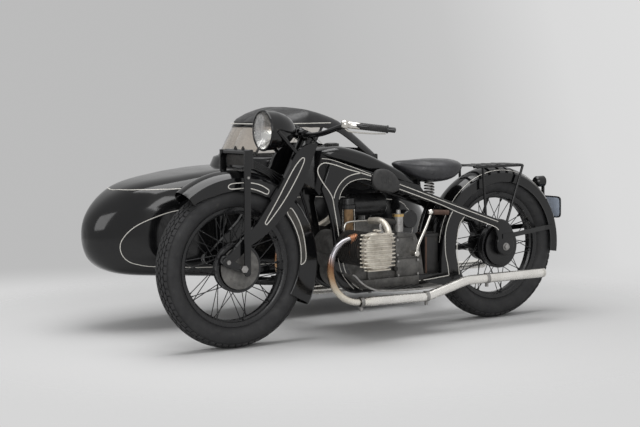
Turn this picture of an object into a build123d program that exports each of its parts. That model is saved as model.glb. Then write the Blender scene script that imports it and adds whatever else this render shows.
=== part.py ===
from build123d import *
import os
from math import cos, pi, radians, sin, sqrt, tan

# Sidecar motorcycle: shaft-driven flat twin in a pressed-steel frame, with a boat-shaped sidecar on
# its right. Sizes are in mm. While it is drawn, X runs forward from the rear axle, Y to the rider's
# left from the machine's centre plane and Z up from the ground. The finished pieces are moved
# together so that the origin lies on the ground below the middle of the outfit's box.

os.makedirs("parts", exist_ok=True)

# ---------------------------------------------------------------- driving dimensions
WHEELBASE = 1380.0
TYRE_R = 340.0
TYRE_HALF = 53.5
AXLE_Z = TYRE_R
SIDECAR_WHEEL = (150.0, -1180.0)      # the third wheel leads the rear axle a little
STEER_POINT = (1020.0, 850.0)         # a point (x, z) on the steering axis
STEER_RAKE = 27.0                     # degrees from upright
FRAME_IN, FRAME_OUT = 84.0, 106.0     # |y| of the two faces of each pressed side member
CAR_Y = -715.0                        # centre plane of the sidecar body
CAR_HALF = 270.0
CAR_WALL = 9.0
HOOD_HALF = 255.0
EXHAUST_Y = 220.0
FIT = 0.05                            # radial clearance of a running fit

steer_dir = Vector(sin(radians(STEER_RAKE)), 0, -cos(radians(STEER_RAKE)))


def steer_at(z):
    """Point of the steering axis at height z."""
    return Vector(STEER_POINT[0] + (STEER_POINT[1] - z) * tan(radians(STEER_RAKE)), 0, z)


def side_plane(y):
    """Plane seen from the left of the machine: local x forward, local y up, at the given y."""
    return Plane(origin=(0, y, 0), x_dir=(1, 0, 0), z_dir=(0, -1, 0))


def outline(start, steps):
    """Closed outline: a step is an end point for a line, or a pair (point on the arc, end)."""
    here = start
    for step in steps:
        if isinstance(step[0], tuple):
            ThreePointArc(here, step[0], step[1])
            here = step[1]
        else:
            Line(here, step)
            here = step
    if here != start:
        Line(here, start)


def slab(start, steps, y_low, y_high):
    """Side outline in (x, z), extruded from y_low to y_high."""
    with BuildPart() as body:
        with BuildSketch(side_plane(y_high)):
            with BuildLine():
                outline(start, steps)
            make_face()
        extrude(amount=y_high - y_low)
    return body.part


def prism(start, steps, z_low, z_high):
    """Plan outline in (x, y), extruded from z_low to z_high."""
    with BuildPart() as body:
        with BuildSketch(Plane.XY.offset(z_low)):
            with BuildLine():
                outline(start, steps)
            make_face()
        extrude(amount=z_high - z_low)
    return body.part


def rod(start, end, radius):
    """Round bar between two points."""
    line = Vector(end) - Vector(start)
    with BuildPart() as body:
        with BuildSketch(Plane(origin=start, z_dir=line)):
            Circle(radius)
        extrude(amount=line.length)
    return body.part


def bent_rod(points, radii, radius):
    """Round bar along straight runs joined by arcs."""
    with BuildPart() as body:
        with BuildLine() as path:
            FilletPolyline(*points, radius=radii)
        with BuildSketch(Plane(origin=path.line @ 0, z_dir=path.line % 0)):
            Circle(radius)
        sweep(path=path.line)
    return body.part


def turned(plane, profile, axis, angle=360.0):
    """Profile of straight edges turned about an axis."""
    with BuildPart() as body:
        with BuildSketch(plane):
            with BuildLine():
                Polyline(*profile, close=True)
            make_face()
        revolve(axis=axis, revolution_arc=angle)
    return body.part


pieces = []


def keep(part, label):
    """Remember a finished piece under its node name."""
    part.label = label
    pieces.append(part)


# ---------------------------------------------------------------- wheels
RIM_FLANGE_R, RIM_BED_R, RIM_IN_R, RIM_WELL_R = 249.0, 238.0, 230.0, 222.0
AXLE_R = 10.0
SPOKE_R = 2.0
SPOKES_PER_SIDE = 20
# hub station: y, radius where the spokes hook in
HUB_LEFT = (22.0, 94.0)
HUB_RIGHT = (-34.0, 52.0)


def wheel_frame(x, y):
    """Plane through the axle: local x along the axle (+Y), local y up."""
    return Plane(origin=(x, y, AXLE_Z), x_dir=(0, 1, 0), z_dir=(1, 0, 0))


def make_tyre(x, y):
    """Solid ring that fills the rim bed, with bulged walls and a round crown."""
    with BuildPart() as tyre:
        with BuildSketch(wheel_frame(x, y)):
            with BuildLine():
                Line((-29, RIM_BED_R), (29, RIM_BED_R))
                Line((29, RIM_BED_R), (29, RIM_FLANGE_R + 1))
                Line((29, RIM_FLANGE_R + 1), (37, RIM_FLANGE_R + 4))
                ThreePointArc((37, RIM_FLANGE_R + 4), (TYRE_HALF, 287), (43, 324))
                ThreePointArc((43, 324), (0, TYRE_R), (-43, 324))
                ThreePointArc((-43, 324), (-TYRE_HALF, 287), (-37, RIM_FLANGE_R + 4))
                Line((-37, RIM_FLANGE_R + 4), (-29, RIM_FLANGE_R + 1))
                Line((-29, RIM_FLANGE_R + 1), (-29, RIM_BED_R))
            make_face()
        revolve(axis=Axis((x, y, AXLE_Z), (0, 1, 0)))
    return tyre.part


def make_wheel(x, y, drum_half):
    """Rim, laced spokes and hub with its brake drum, as one piece."""
    plane, axis = wheel_frame(x, y), Axis((x, y, AXLE_Z), (0, 1, 0))
    rim = [(-33, RIM_FLANGE_R), (-29, RIM_FLANGE_R), (-29, RIM_BED_R), (29, RIM_BED_R),
           (29, RIM_FLANGE_R), (33, RIM_FLANGE_R), (33, 240), (28, RIM_IN_R), (14, RIM_IN_R),
           (9, RIM_WELL_R), (-9, RIM_WELL_R), (-14, RIM_IN_R), (-28, RIM_IN_R), (-33, 240)]
    bore = AXLE_R + FIT
    hub = [(-46, bore), (-46, 26), (-38, 30), (-38, 58), (-30, 58), (-28, 32), (12, 36),
           (18, 100), (drum_half, 100), (drum_half, 93), (26, 91), (24, bore)]
    wheel = turned(plane, rim, axis) + turned(plane, hub, axis)
    spokes = []
    for hub_y, hub_r in (HUB_LEFT, HUB_RIGHT):
        for k in range(SPOKES_PER_SIDE):
            lean = 1 if k % 2 else -1
            at_hub = radians(360.0 / SPOKES_PER_SIDE * k + (9 if hub_y < 0 else 0))
            reach = radians(26.0 if hub_y > 0 else 46.0)
            at_rim = at_hub + lean * reach
            shift = 2.6 * lean
            start = (x + hub_r * cos(at_hub), y + hub_y + shift, AXLE_Z + hub_r * sin(at_hub))
            end_r = RIM_IN_R + 2
            end = (x + end_r * cos(at_rim), y + (12 if hub_y > 0 else -12) + shift,
                   AXLE_Z + end_r * sin(at_rim))
            spokes.append(rod(start, end, SPOKE_R))
    return wheel.fuse(*spokes)


# wheel name, x, y, |y| of the open edge of its drum
WHEELS = (
    ("front", WHEELBASE, 0.0, 60.0),
    ("rear", 0.0, 0.0, 60.0),
    ("sidecar", SIDECAR_WHEEL[0], SIDECAR_WHEEL[1], 56.0),
)
for wheel_name, wheel_x, wheel_y, drum_half in WHEELS:
    keep(make_tyre(wheel_x, wheel_y), wheel_name + "_tyre")
    keep(make_wheel(wheel_x, wheel_y, drum_half), wheel_name + "_wheel")

# ---------------------------------------------------------------- pressed-steel frame
side_start = (950, 775)
side_steps = [(744, 716), (42, 470), ((-30, 440), (-46, 372)), ((-30, 306), (12, 300)),
              ((46, 330), (44, 380)), (64, 440), (238, 500), ((289, 380), (268, 246)), (262, 192),
              (800, 192), ((905, 225), (935, 372)), ((955, 520), (989, 622)), (1000, 650)]
window_start = (330, 532)
window_steps = [(752, 677), ((860, 670), (919, 579)), ((890, 440), (878, 372)),
                ((858, 282), (800, 247)), (372, 247), ((363, 380), (318, 520))]
pressed_side = slab(side_start, side_steps, FRAME_IN, FRAME_OUT)
pressed_side -= slab(window_start, window_steps, FRAME_IN - 1, FRAME_OUT + 1)
CYL = (870.0, 398.0)                  # (x, z) of the cylinders' common axis
CYL_ROOT_R = 46.0                     # plain root of each barrel, where it passes the side member
side_left = pressed_side - rod((0, 60, AXLE_Z), (0, 130, AXLE_Z), AXLE_R + FIT)
side_left -= rod((CYL[0], 60, CYL[1]), (CYL[0], 130, CYL[1]), CYL_ROOT_R)
keep(side_left, "frame_left")
keep(mirror(side_left, about=Plane.XZ), "frame_right")

# Steering head: a tapered gusset between the side members and the head tube
HEAD_TUBE_R, STEM_R = 30.0, 12.0
HEAD_TOP, HEAD_LOW = 868.0, 700.0
gusset = slab((950, 775), [(1012, 830), (1036, 840), (1082, 700), (1062, 690), (1000, 650), (985, 620)],
              -FRAME_OUT, FRAME_OUT)
gusset &= prism((900, -FRAME_OUT), [(945, -FRAME_OUT), (1000, -44), (1040, -26), (1100, -26),
                                    (1100, 26), (1040, 26), (1000, 44), (945, FRAME_OUT),
                                    (900, FRAME_OUT)], 600, 900)
for mark in (1, -1):
    gusset -= slab(side_start, side_steps, min(mark * FRAME_IN, mark * FRAME_OUT),
                   max(mark * FRAME_IN, mark * FRAME_OUT))
head_top, head_low = steer_at(HEAD_TOP), steer_at(HEAD_LOW)
steering_head = gusset + rod(head_top, head_low, HEAD_TUBE_R)
steering_head -= rod((head_top - steer_dir * 60), (head_low + steer_dir * 60),
                     STEM_R + FIT)
keep(steering_head, "steering_head")

# ---------------------------------------------------------------- tank and knee pads
tank_low = slab((936, 770), [(940, 700), (880, 690), (750, 684), (500, 600), (440, 610), (470, 650)],
                -FRAME_IN, FRAME_IN)
TANK_SECTIONS = (  # x, half width, z of the lower edge, z of the top, corner radius
    (984, 44, 786, 808, 10), (945, 84, 770, 826, 26), (877, 98, 752, 829, 36), (769, 99, 720, 803, 38),
    (674, 97, 690, 765, 34), (569, 88, 656, 719, 28), (466, 58, 624, 666, 18))
with BuildPart() as tank_top:
    for sec_x, half, low, high, corner in TANK_SECTIONS:
        with BuildSketch(Plane(origin=(sec_x, 0, (low + high) / 2), x_dir=(0, 1, 0), z_dir=(1, 0, 0))):
            RectangleRounded(2 * half, high - low, corner)
    loft(ruled=True)
tank = tank_top.part + tank_low - steering_head - pressed_side - mirror(pressed_side, about=Plane.XZ)
tank += rod((884, 0, 820), (884, 0, 838), 30)             # filler cap
keep(tank, "fuel_tank")
pad = slab((762, 690), [((748, 722), (715, 726)), (622, 668), ((612, 640), (640, 626)),
                        ((700, 626), (740, 640))], FRAME_OUT, FRAME_OUT + 16)
keep(Compound([pad, mirror(pad, about=Plane.XZ)]), "knee_pads")

# ---------------------------------------------------------------- engine and gearbox
CASE_HALF = 80.0
crankcase = slab((905, 300), [(912, 420), ((900, 500), (850, 522)), (690, 522), (596, 440), (596, 215),
                              (860, 212), ((895, 240), (905, 300))], -CASE_HALF, CASE_HALF)
dynamo = rod((660, 0, 568), (860, 0, 568), 52)
keep(crankcase + dynamo, "crankcase")
BATTERY_X = (373.0, 450.0)          # between the rear mudguard and the gearbox
gearbox = slab((596, 440), [(500, 430), (474, 380), (452, 240), (474, 215), (596, 215)],
               -CASE_HALF, CASE_HALF)
gearbox += slab((BATTERY_X[0], 247), [(BATTERY_X[0], 239), (480, 239), (480, 247)], 12, FRAME_IN)
keep(gearbox, "gearbox")


def make_cylinder():
    """Finned barrel and head of the left cylinder, on the common axis."""
    x, z = CYL
    plane = Plane(origin=(x, 0, z), x_dir=(0, 1, 0), z_dir=(1, 0, 0))
    profile = [(CASE_HALF, 0), (CASE_HALF, CYL_ROOT_R), (110, CYL_ROOT_R), (110, 52)]
    for k in range(8):
        y = 112 + 17 * k
        profile += [(y, 52), (y, 76), (y + 5, 76), (y + 5, 52)]
    profile += [(246, 52), (246, 0)]
    barrel = turned(plane, profile, Axis((x, 0, z), (0, 1, 0)))
    with BuildPart() as head:
        with BuildSketch(side_plane(246)):
            with Locations((x, z)):
                RectangleRounded(110, 170, 50)
        extrude(amount=-84)
        for k in range(11):
            rise = -82 + 16.4 * k
            half = 81 if abs(rise) < 40 else sqrt(max(81 ** 2 - (abs(rise) - 40) ** 2 * 2.2, 1))
            with BuildSketch(Plane.XY.offset(z + rise)):
                with Locations((x, 298)):
                    RectangleRounded(2 * half, 92, 20)
            extrude(amount=5.5)
    return barrel + head.part


cylinder = make_cylinder()
keep(cylinder, "cylinder_left")
keep(mirror(cylinder, about=Plane.XZ), "cylinder_right")

carb = rod((655, 150, 468), (655, 150, 556), 22) + rod((655, 150, 486), (822, 150, 440), 15)
carb -= cylinder
keep(Compound([carb, mirror(carb, about=Plane.XZ)]), "carburettors")

# ---------------------------------------------------------------- exhausts
HEADER_R, MUFFLER_R = 16.0, 21.0


def make_exhaust():
    """Left exhaust: header bend, silencer and tail, all in one upright plane."""
    y = EXHAUST_Y
    header = bent_rod([(940, y, 434), (1034, y, 392), (1040, y, 250), (975, y, 174), (860, y, 173)],
                      [52, 70, 62], HEADER_R)
    silencer = bent_rod([(862, y, 173), (540, y, 167), (420, y, 196), (320, y, 221), (-128, y, 221)],
                        [120, 150, 200], MUFFLER_R)
    return header + silencer


exhaust = make_exhaust()
exhaust -= cylinder
keep(exhaust, "exhaust_left")
keep(mirror(exhaust, about=Plane.XZ), "exhaust_right")

# ---------------------------------------------------------------- fittings inside the frame
with BuildPart() as battery:
    with Locations(((BATTERY_X[0] + BATTERY_X[1]) / 2, 48, 330)):
        Box(BATTERY_X[1] - BATTERY_X[0], 70, 166)
    with Locations(((BATTERY_X[0] + BATTERY_X[1]) / 2, 48, 420)):
        Box(BATTERY_X[1] - BATTERY_X[0] - 10, 60, 14)
keep(battery.part, "battery")
board = slab((915, 292), [(850, 262), (814, 230), (760, 206), (508, 206), (508, 198), (764, 198),
                          (820, 223), (856, 254), (918, 284)], FRAME_OUT, 204)
keep(Compound([board, mirror(board, about=Plane.XZ)]), "footboards")
kick = rod((519, CASE_HALF, 347), (519, 122, 347), 12) + bent_rod(
    [(519, 116, 340), (505, 118, 400), (446, 125, 530)], [60], 7)
kick += rod((448, 125, 524), (352, 125, 520), 12)
keep(kick, "kick_starter")

# ---------------------------------------------------------------- final drive
SHAFT_Y, SHAFT_R = -70.0, 11.0
final_drive = rod((0, -52, AXLE_Z), (0, -FRAME_IN, AXLE_Z), 76)
final_drive += rod((0, 66, AXLE_Z), (0, 72, AXLE_Z), 90) + rod((0, 70, AXLE_Z), (0, FRAME_IN, AXLE_Z), 30)
final_drive += rod((50, SHAFT_Y, 335), (140, SHAFT_Y, 332), 14)
final_drive += rod((140, SHAFT_Y, 332), (470, SHAFT_Y, 322), SHAFT_R)
final_drive -= gearbox
final_drive += rod((0, -112, AXLE_Z), (0, 112, AXLE_Z), AXLE_R)
keep(final_drive, "final_drive")


# ---------------------------------------------------------------- mudguards
def make_mudguard(x, y, r_out, half, depth, start_deg, end_deg, wall=3.0):
    """Crowned channel round a wheel, from start to end angle about the axle (0 forward, 90 up)."""
    origin = Vector(x, y, AXLE_Z)
    first = Plane(origin=origin, x_dir=(0, 1, 0), z_dir=(sin(radians(start_deg)), 0,
                                                         -cos(radians(start_deg))))
    # local x is +Y of the machine; local y points outwards along the start angle
    with BuildPart() as guard:
        with BuildSketch(first):
            with BuildLine():
                sign = 1 if first.y_dir.dot(Vector(cos(radians(start_deg)), 0,
                                                   sin(radians(start_deg)))) > 0 else -1
                low, knee = r_out - depth, r_out - 0.45 * half
                ThreePointArc((-half, sign * knee), (0, sign * r_out), (half, sign * knee))
                Line((half, sign * knee), (half, sign * low))
                Line((half, sign * low), (half - wall, sign * low))
                Line((half - wall, sign * low), (half - wall, sign * knee))
                ThreePointArc((half - wall, sign * knee), (0, sign * (r_out - wall)),
                              (wall - half, sign * knee))
                Line((wall - half, sign * knee), (wall - half, sign * low))
                Line((wall - half, sign * low), (-half, sign * low))
                Line((-half, sign * low), (-half, sign * knee))
            make_face()
        revolve(axis=Axis(origin, (0, -1, 0)), revolution_arc=end_deg - start_deg)
    return guard.part


REAR_GUARD_X, REAR_GUARD_R = -6.0, 371.0     # the rear guard sits a little behind the axle
REAR_GUARD_HALF = 68.0
rear_guard = make_mudguard(REAR_GUARD_X, 0, REAR_GUARD_R, REAR_GUARD_HALF, 70, -8, 188)
with BuildPart() as shaft_notch:
    with Locations((342, SHAFT_Y, 330)):
        Box(110, 44, 60)
rear_guard -= shaft_notch.part
keep(rear_guard, "rear_mudguard")

# ---------------------------------------------------------------- luggage rack, lamp, plate, saddle
RACK_Z, RACK_HALF, RACK_R = 714.0, 86.0, 6.0
RACK_TOP = 721.0                      # flat slats that the luggage rests on
rack = bent_rod([(172, RACK_HALF, RACK_Z), (-131, RACK_HALF, RACK_Z), (-131, -RACK_HALF, RACK_Z),
                 (172, -RACK_HALF, RACK_Z)], [30, 30], RACK_R)
for k in range(5):
    bar_x = 164 - 60 * k
    rack += slab((bar_x - 8, RACK_Z + 2), [(bar_x - 8, RACK_TOP), (bar_x + 8, RACK_TOP), (bar_x + 8, RACK_Z + 2)],
                 -RACK_HALF, RACK_HALF)
for mark in (1, -1):
    rack += rod((-118, mark * RACK_HALF, RACK_Z), (-12, mark * 95, 448), RACK_R)
    rack += rod((120, mark * RACK_HALF, RACK_Z), (110, mark * 95, 492), RACK_R)
rack -= side_left
rack -= mirror(side_left, about=Plane.XZ)
keep(rack, "luggage_rack")
tail_lamp = rod((-268, 0, 628), (-322, 0, 624), 27)
tail_lamp += slab((-290, 608), [(-320, 606), (-324, 545), (-312, 545), (-304, 590)], -8, 8)
tail_lamp -= rear_guard
keep(tail_lamp, "tail_lamp")
with BuildPart() as plate:
    with Locations((-364, 0, 502)):
        Box(4, 148, 104)
    with Locations((-357.5, 0, 470)):
        Box(11, 30, 8)
keep(plate.part - rear_guard, "number_plate")

SADDLE_SECTIONS = (  # x, half width, z of the lower edge, z of the top
    (566, 34, 724, 746), (470, 58, 690, 748), (360, 108, 664, 752), (250, 130, 660, 750),
    (182, 112, 690, 740))
with BuildPart() as saddle:
    for sec_x, half, low, high in SADDLE_SECTIONS:
        with BuildSketch(Plane(origin=(sec_x, 0, (low + high) / 2), x_dir=(0, 1, 0), z_dir=(1, 0, 0))):
            RectangleRounded(2 * half, high - low, min(13, (high - low) / 2 - 1))
    loft(ruled=True)
keep(saddle.part, "saddle")
spring_profile = [(0, 0), (24, 0)]
for k in range(4):
    spring_profile += [(24, 10 + 18 * k), (17, 14 + 18 * k), (24, 18 + 18 * k)]
spring_profile += [(24, 92), (0, 92)]
springs = []
for mark in (1, -1):
    here = Plane(origin=(372, mark * 58, 584), x_dir=(1, 0, 0), z_dir=(0, -1, 0))
    springs.append(turned(here, spring_profile, Axis((372, mark * 58, 584), (0, 0, 1))))
bars = rod((372, -FRAME_IN, 580), (372, FRAME_IN, 580), 5) + rod((425, -FRAME_IN, 588), (425, FRAME_IN, 588), 7)
bars += slab((372, 578), [(372, 584), (418, 590), (418, 700), (432, 700), (432, 582)], -15, 15)
keep(springs[0] + springs[1] + bars - saddle.part, "saddle_springs")

# ---------------------------------------------------------------- stays of the rear mudguard
# flat strips from the axle lugs to the sides of the guard, bent inwards behind the frame
stay = slab((20, 378), [(20, 400), (-316, 424), (-316, 402)], 60, 130)
stay &= prism((20, FRAME_OUT), [(-52, FRAME_OUT), (-268, REAR_GUARD_HALF), (-316, REAR_GUARD_HALF),
                                (-316, REAR_GUARD_HALF + 4), (-267, REAR_GUARD_HALF + 4),
                                (-51, FRAME_OUT + 4), (20, FRAME_OUT + 4)], 350, 450)
keep(Compound([stay, mirror(stay, about=Plane.XZ)]), "mudguard_stays")

# ---------------------------------------------------------------- fork
BLADE_IN, BLADE_OUT = 72.0, 90.0
LINK_IN, LINK_OUT = 92.0, 102.0
LINK_PIVOT = (1450.0, 372.0)
blade = slab((1008, 845), [((1085, 830), (1142, 754)), (1198, 668), (1307, 522), (1440, 400),
                           ((1472, 372), (1440, 350)), (1332, 436), ((1180, 545), (1067, 698)),
                           (1040, 770)], BLADE_IN, BLADE_OUT)
pin = rod((LINK_PIVOT[0], BLADE_OUT - 2, LINK_PIVOT[1]), (LINK_PIVOT[0], LINK_OUT + 2, LINK_PIVOT[1]), 7)
top_crown = rod((steer_at(HEAD_TOP + 3)), steer_at(HEAD_TOP + 19), 40)
low_crown = rod((steer_at(HEAD_LOW - 3)), steer_at(HEAD_LOW - 21), 38)
stem = rod(steer_at(HEAD_TOP + 12), steer_at(HEAD_LOW - 12), STEM_R)
fork = blade + mirror(blade, about=Plane.XZ) + pin + mirror(pin, about=Plane.XZ)
fork += top_crown + low_crown + stem
low_mid = steer_at(HEAD_LOW - 12)
fork += rod((low_mid.X + 6, -BLADE_IN - 4, low_mid.Z), (low_mid.X + 6, BLADE_IN + 4, low_mid.Z), 9)
top_mid = steer_at(HEAD_TOP + 11)
fork += rod((top_mid.X, -BLADE_IN - 4, top_mid.Z), (top_mid.X, BLADE_IN + 4, top_mid.Z), 8)
lamp_y = Plane(origin=(1221, 0, 900), x_dir=(1, 0, 0), z_dir=(0, -1, 0))
shell = turned(lamp_y, [(0, 0), (0, 84), (-16, 84), (-60, 78), (-110, 58), (-140, 30), (-146, 0)],
               Axis((1221, 0, 900), (1, 0, 0)))
for mark in (1, -1):
    fork += rod((1100, mark * 81, 800), (1196, mark * 81, 900), 8) - shell
keep(fork, "fork")

links = slab((LINK_PIVOT[0] + 4, 392), [((1474, 372), (1452, 352)), (1350, 304),
                                        ((1326, 322), (1344, 340))], LINK_IN, LINK_OUT)
links -= rod((LINK_PIVOT[0], 60, LINK_PIVOT[1]), (LINK_PIVOT[0], 130, LINK_PIVOT[1]), 7)
links += slab((1334, 340), [(1326, 826), (1357, 826), (1364, 340)], LINK_OUT - 2, LINK_OUT + 8)
links += mirror(links, about=Plane.XZ)
links += rod((WHEELBASE, -LINK_OUT - 12, AXLE_Z), (WHEELBASE, LINK_OUT + 12, AXLE_Z), AXLE_R)
links += rod((WHEELBASE, 65.5, AXLE_Z), (WHEELBASE, 71.5, AXLE_Z), 88)
keep(links, "fork_links")

leaf = slab((1075, 676), [((1210, 748), (1330, 804)), (1330, 770), ((1215, 718), (1086, 652))], -26, 26)
leaf += slab((1318, 748), [(1318, 826), (1346, 826), (1346, 748)], -LINK_OUT + 2, LINK_OUT - 2)
leaf -= fork
keep(leaf, "leaf_spring")

front_guard = make_mudguard(WHEELBASE, 0, 402, 66, 140, 53, 208)
# the valances deepen towards the rear: their lower edge is a circle that sits forward and up of the axle
front_guard -= rod((WHEELBASE + 12, -80, AXLE_Z + 33), (WHEELBASE + 12, 80, AXLE_Z + 33), 291)
keep(front_guard, "front_mudguard")

keep(shell, "headlamp")
lens = turned(lamp_y, [(0, 0), (0, 76), (6, 74), (14, 50), (18, 20), (19, 0)],
              Axis((1221, 0, 900), (1, 0, 0)))
keep(lens, "headlamp_lens")

BAR_R, GRIP_R = 11.0, 15.0
bar_half = [(1036, 90, 906), (1020, 215, 926), (975, 312, 922), (819, 392, 900)]
bar_path = [(x, -y, z) for x, y, z in reversed(bar_half)] + bar_half
bar = bent_rod(bar_path, [50, 60, 90, 90, 60, 50], BAR_R)
handlebar = bar + rod(steer_at(HEAD_TOP + 17), (1034, 0, 903), 14)
handlebar -= fork
keep(handlebar, "handlebar")
grip_start, grip_end = Vector(952, 324, 919), Vector(819, 392, 900)
grip = rod((grip_start + (grip_end - grip_start) * 0.05),
           (grip_end + (grip_end - grip_start) * 0.02), GRIP_R)
grip -= bar
keep(Compound([grip, mirror(grip, about=Plane.XZ)]), "grips")

# ---------------------------------------------------------------- sidecar chassis
TUBE_R, CROSS_R = 19.0, 16.0
CHASSIS_Z = 190.0
NEAR_Y, FAR_Y = -470.0, -950.0
FLOOR_Z = 215.0                       # underside of the sidecar body
REAR_X = 60.0
chassis = bent_rod([(REAR_X - 30, NEAR_Y, CHASSIS_Z), (950, NEAR_Y, CHASSIS_Z), (1010, CAR_Y, CHASSIS_Z),
                    (950, FAR_Y, CHASSIS_Z), (REAR_X - 30, FAR_Y, CHASSIS_Z)], [90, 160, 90], TUBE_R)
for y in (NEAR_Y, FAR_Y):
    for pad_x in (380, 860):
        chassis += slab((pad_x, CHASSIS_Z), [(pad_x, FLOOR_Z), (pad_x + 60, FLOOR_Z), (pad_x + 60, CHASSIS_Z)],
                        y - 15, y + 15)
wx, wy = SIDECAR_WHEEL
chassis += rod((wx, NEAR_Y + 8, CHASSIS_Z), (wx, -1010, CHASSIS_Z), CROSS_R)
chassis += rod((REAR_X, NEAR_Y + 8, CHASSIS_Z), (REAR_X, FAR_Y - 8, CHASSIS_Z), CROSS_R)
chassis += slab((wx - 22, 184), [(wx - 22, 350), ((wx, 368), (wx + 22, 350)), (wx + 22, 184)], -1030, -1000)
chassis += rod((wx, -1020, AXLE_Z), (wx, wy - 52, AXLE_Z), AXLE_R)
# four struts to the machine: lower front, lower rear, upper front, upper rear
STRUTS = (  # start (x, y, z), end (x, z) on the side member, radius
    ((930, NEAR_Y, CHASSIS_Z), (850, 227), 15), ((REAR_X, NEAR_Y, CHASSIS_Z + 10), (320, 300), 15),
    ((560, NEAR_Y + 46, CHASSIS_Z), (560, 632), 14), ((wx, NEAR_Y + 46, CHASSIS_Z), (190, 508), 14))
for strut_start, strut_end, strut_r in STRUTS:
    chassis += rod(strut_start, (strut_end[0], -FRAME_OUT, strut_end[1]), strut_r)
for stub_x in (560, wx):
    chassis += rod((stub_x, NEAR_Y - 6, CHASSIS_Z), (stub_x, NEAR_Y + 52, CHASSIS_Z), CROSS_R - 1)
chassis -= mirror(side_left, about=Plane.XZ)
keep(chassis, "sidecar_chassis")


# ---------------------------------------------------------------- sidecar body
HULL_ROWS = (  # x, half width, z of the floor, z of the deck, corner radius
    (-90, 20, 376, 418, 15), (-72, 78, 316, 452, 50), (-30, 142, 244, 494, 62), (40, 199, 220, 545, 60),
    (150, 247, 216, 614, 52), (330, 270, 215, 722, 45), (1060, 270, 217, 724, 45),
    (1250, 269, 232, 708, 55), (1340, 265, 237, 697, 64), (1420, 254, 241, 686, 76),
    (1500, 232, 244, 672, 90), (1570, 202, 249, 653, 102), (1630, 168, 260, 622, 108),
    (1680, 130, 282, 582, 100), (1718, 90, 316, 536, 80), (1741, 50, 360, 496, 46), (1750, 18, 404, 456, 16))
HULL_TAIL, HULL_REAR, HULL_FRONT, HULL_TIP = -90, 330, 1060, 1750


def make_hull(inset):
    """Boat-shaped solid, lofted through rounded boxes and drawn in by the inset all round."""
    with BuildPart() as hull:
        for x, half, low, high, corner in HULL_ROWS:
            if x > HULL_FRONT:
                x -= inset * (x - HULL_FRONT) / (HULL_TIP - HULL_FRONT)
            if x < HULL_REAR:
                x += inset * (HULL_REAR - x) / (HULL_REAR - HULL_TAIL)
            height = high - low - 2 * inset
            radius = min(max(corner - inset, 2), half - inset - 1, height / 2 - 1)
            with BuildSketch(Plane(origin=(x, CAR_Y, (low + high) / 2), x_dir=(0, 1, 0), z_dir=(1, 0, 0))):
                RectangleRounded(2 * (half - inset), height, radius)
        loft(ruled=True)
    return hull.part


COAMING_TOP = 765.0
COWL_FRONT, COWL_FOOT = 1042.0, 1071.0


def cockpit(inset, front, z):
    """Plan of the cockpit collar at height z, as a face: straight sides and a round front."""
    half, side_x = HOOD_HALF - inset, front - 202
    with BuildSketch(Plane.XY.offset(z)) as plan:
        with BuildLine():
            Line((330 + inset, CAR_Y - half), (330 + inset, CAR_Y + half))
            Line((330 + inset, CAR_Y + half), (side_x, CAR_Y + half))
            ThreePointArc((side_x, CAR_Y + half), (side_x + 142, CAR_Y + 0.745 * half), (front, CAR_Y))
            ThreePointArc((front, CAR_Y), (side_x + 142, CAR_Y - 0.745 * half), (side_x, CAR_Y - half))
            Line((side_x, CAR_Y - half), (330 + inset, CAR_Y - half))
        make_face()
    return plan.sketch


with BuildPart() as cowl:
    add(cockpit(0, COWL_FOOT, 700))
    add(cockpit(0, COWL_FRONT, COAMING_TOP))
    loft(ruled=True)
with BuildPart() as cockpit_hole:
    add(cockpit(CAR_WALL, 1003, 600))
    extrude(amount=COAMING_TOP + 1 - 600)
hull = make_hull(0) + cowl.part
for y in (NEAR_Y, FAR_Y):
    for pad_x in (380, 860):              # feet that stand on the chassis pads
        hull += slab((pad_x, FLOOR_Z), [(pad_x, FLOOR_Z + 35), (pad_x + 60, FLOOR_Z + 35),
                                        (pad_x + 60, FLOOR_Z)], y - 15, y + 15)
hull -= make_hull(CAR_WALL)
hull -= cockpit_hole.part
with BuildPart() as seat_box:
    with Locations((610, CAR_Y, 270)):
        Box(400, 2 * CAR_HALF - 2 * CAR_WALL - 4, 100)
seat_base = seat_box.part & make_hull(CAR_WALL - 1)
keep(hull + seat_base, "sidecar_body")

with BuildPart() as cushion:
    with Locations((610, CAR_Y, 375)):
        Box(390, 460, 110)
keep(cushion.part, "sidecar_cushion")
back = slab((425, 330), [(402, 330), (340, 700), (380, 705), (424, 480)], CAR_Y - 225, CAR_Y + 225)
keep(back - cushion.part, "sidecar_backrest")

# ---------------------------------------------------------------- windscreen
SCREEN_LEAN = 81.0                    # the top edge lies this far behind the lower edge
SCREEN_TOP = 905.0
SIDE_REAR = 716.0                     # rear end of the side wings at their foot


def screen_band(low, high, outer, inner):
    """Ring sector of the wrapped screen between two heights; outer and inner are offsets inwards."""
    with BuildPart() as band:
        for z in (low, high):
            back = -SCREEN_LEAN * (z - COAMING_TOP) / (SCREEN_TOP - COAMING_TOP)
            with BuildSketch(Plane.XY.offset(z)):
                with BuildLine():
                    for inset in (outer, inner):
                        half, front, turn = HOOD_HALF - inset, 1012 - inset + back, 840 + back
                        mid = (turn + 0.707 * (front - turn), 0.745 * half)
                        ThreePointArc((turn, CAR_Y + half), (mid[0], CAR_Y + mid[1]), (front, CAR_Y))
                        ThreePointArc((front, CAR_Y), (mid[0], CAR_Y - mid[1]), (turn, CAR_Y - half))
                        for mark in (1, -1):
                            Line((turn, CAR_Y + mark * half), (SIDE_REAR + back, CAR_Y + mark * half))
                    for mark in (1, -1):
                        Line((SIDE_REAR + back, CAR_Y + mark * (HOOD_HALF - outer)),
                             (SIDE_REAR + back, CAR_Y + mark * (HOOD_HALF - inner)))
                make_face()
        loft(ruled=True)
    return band.part


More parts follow.
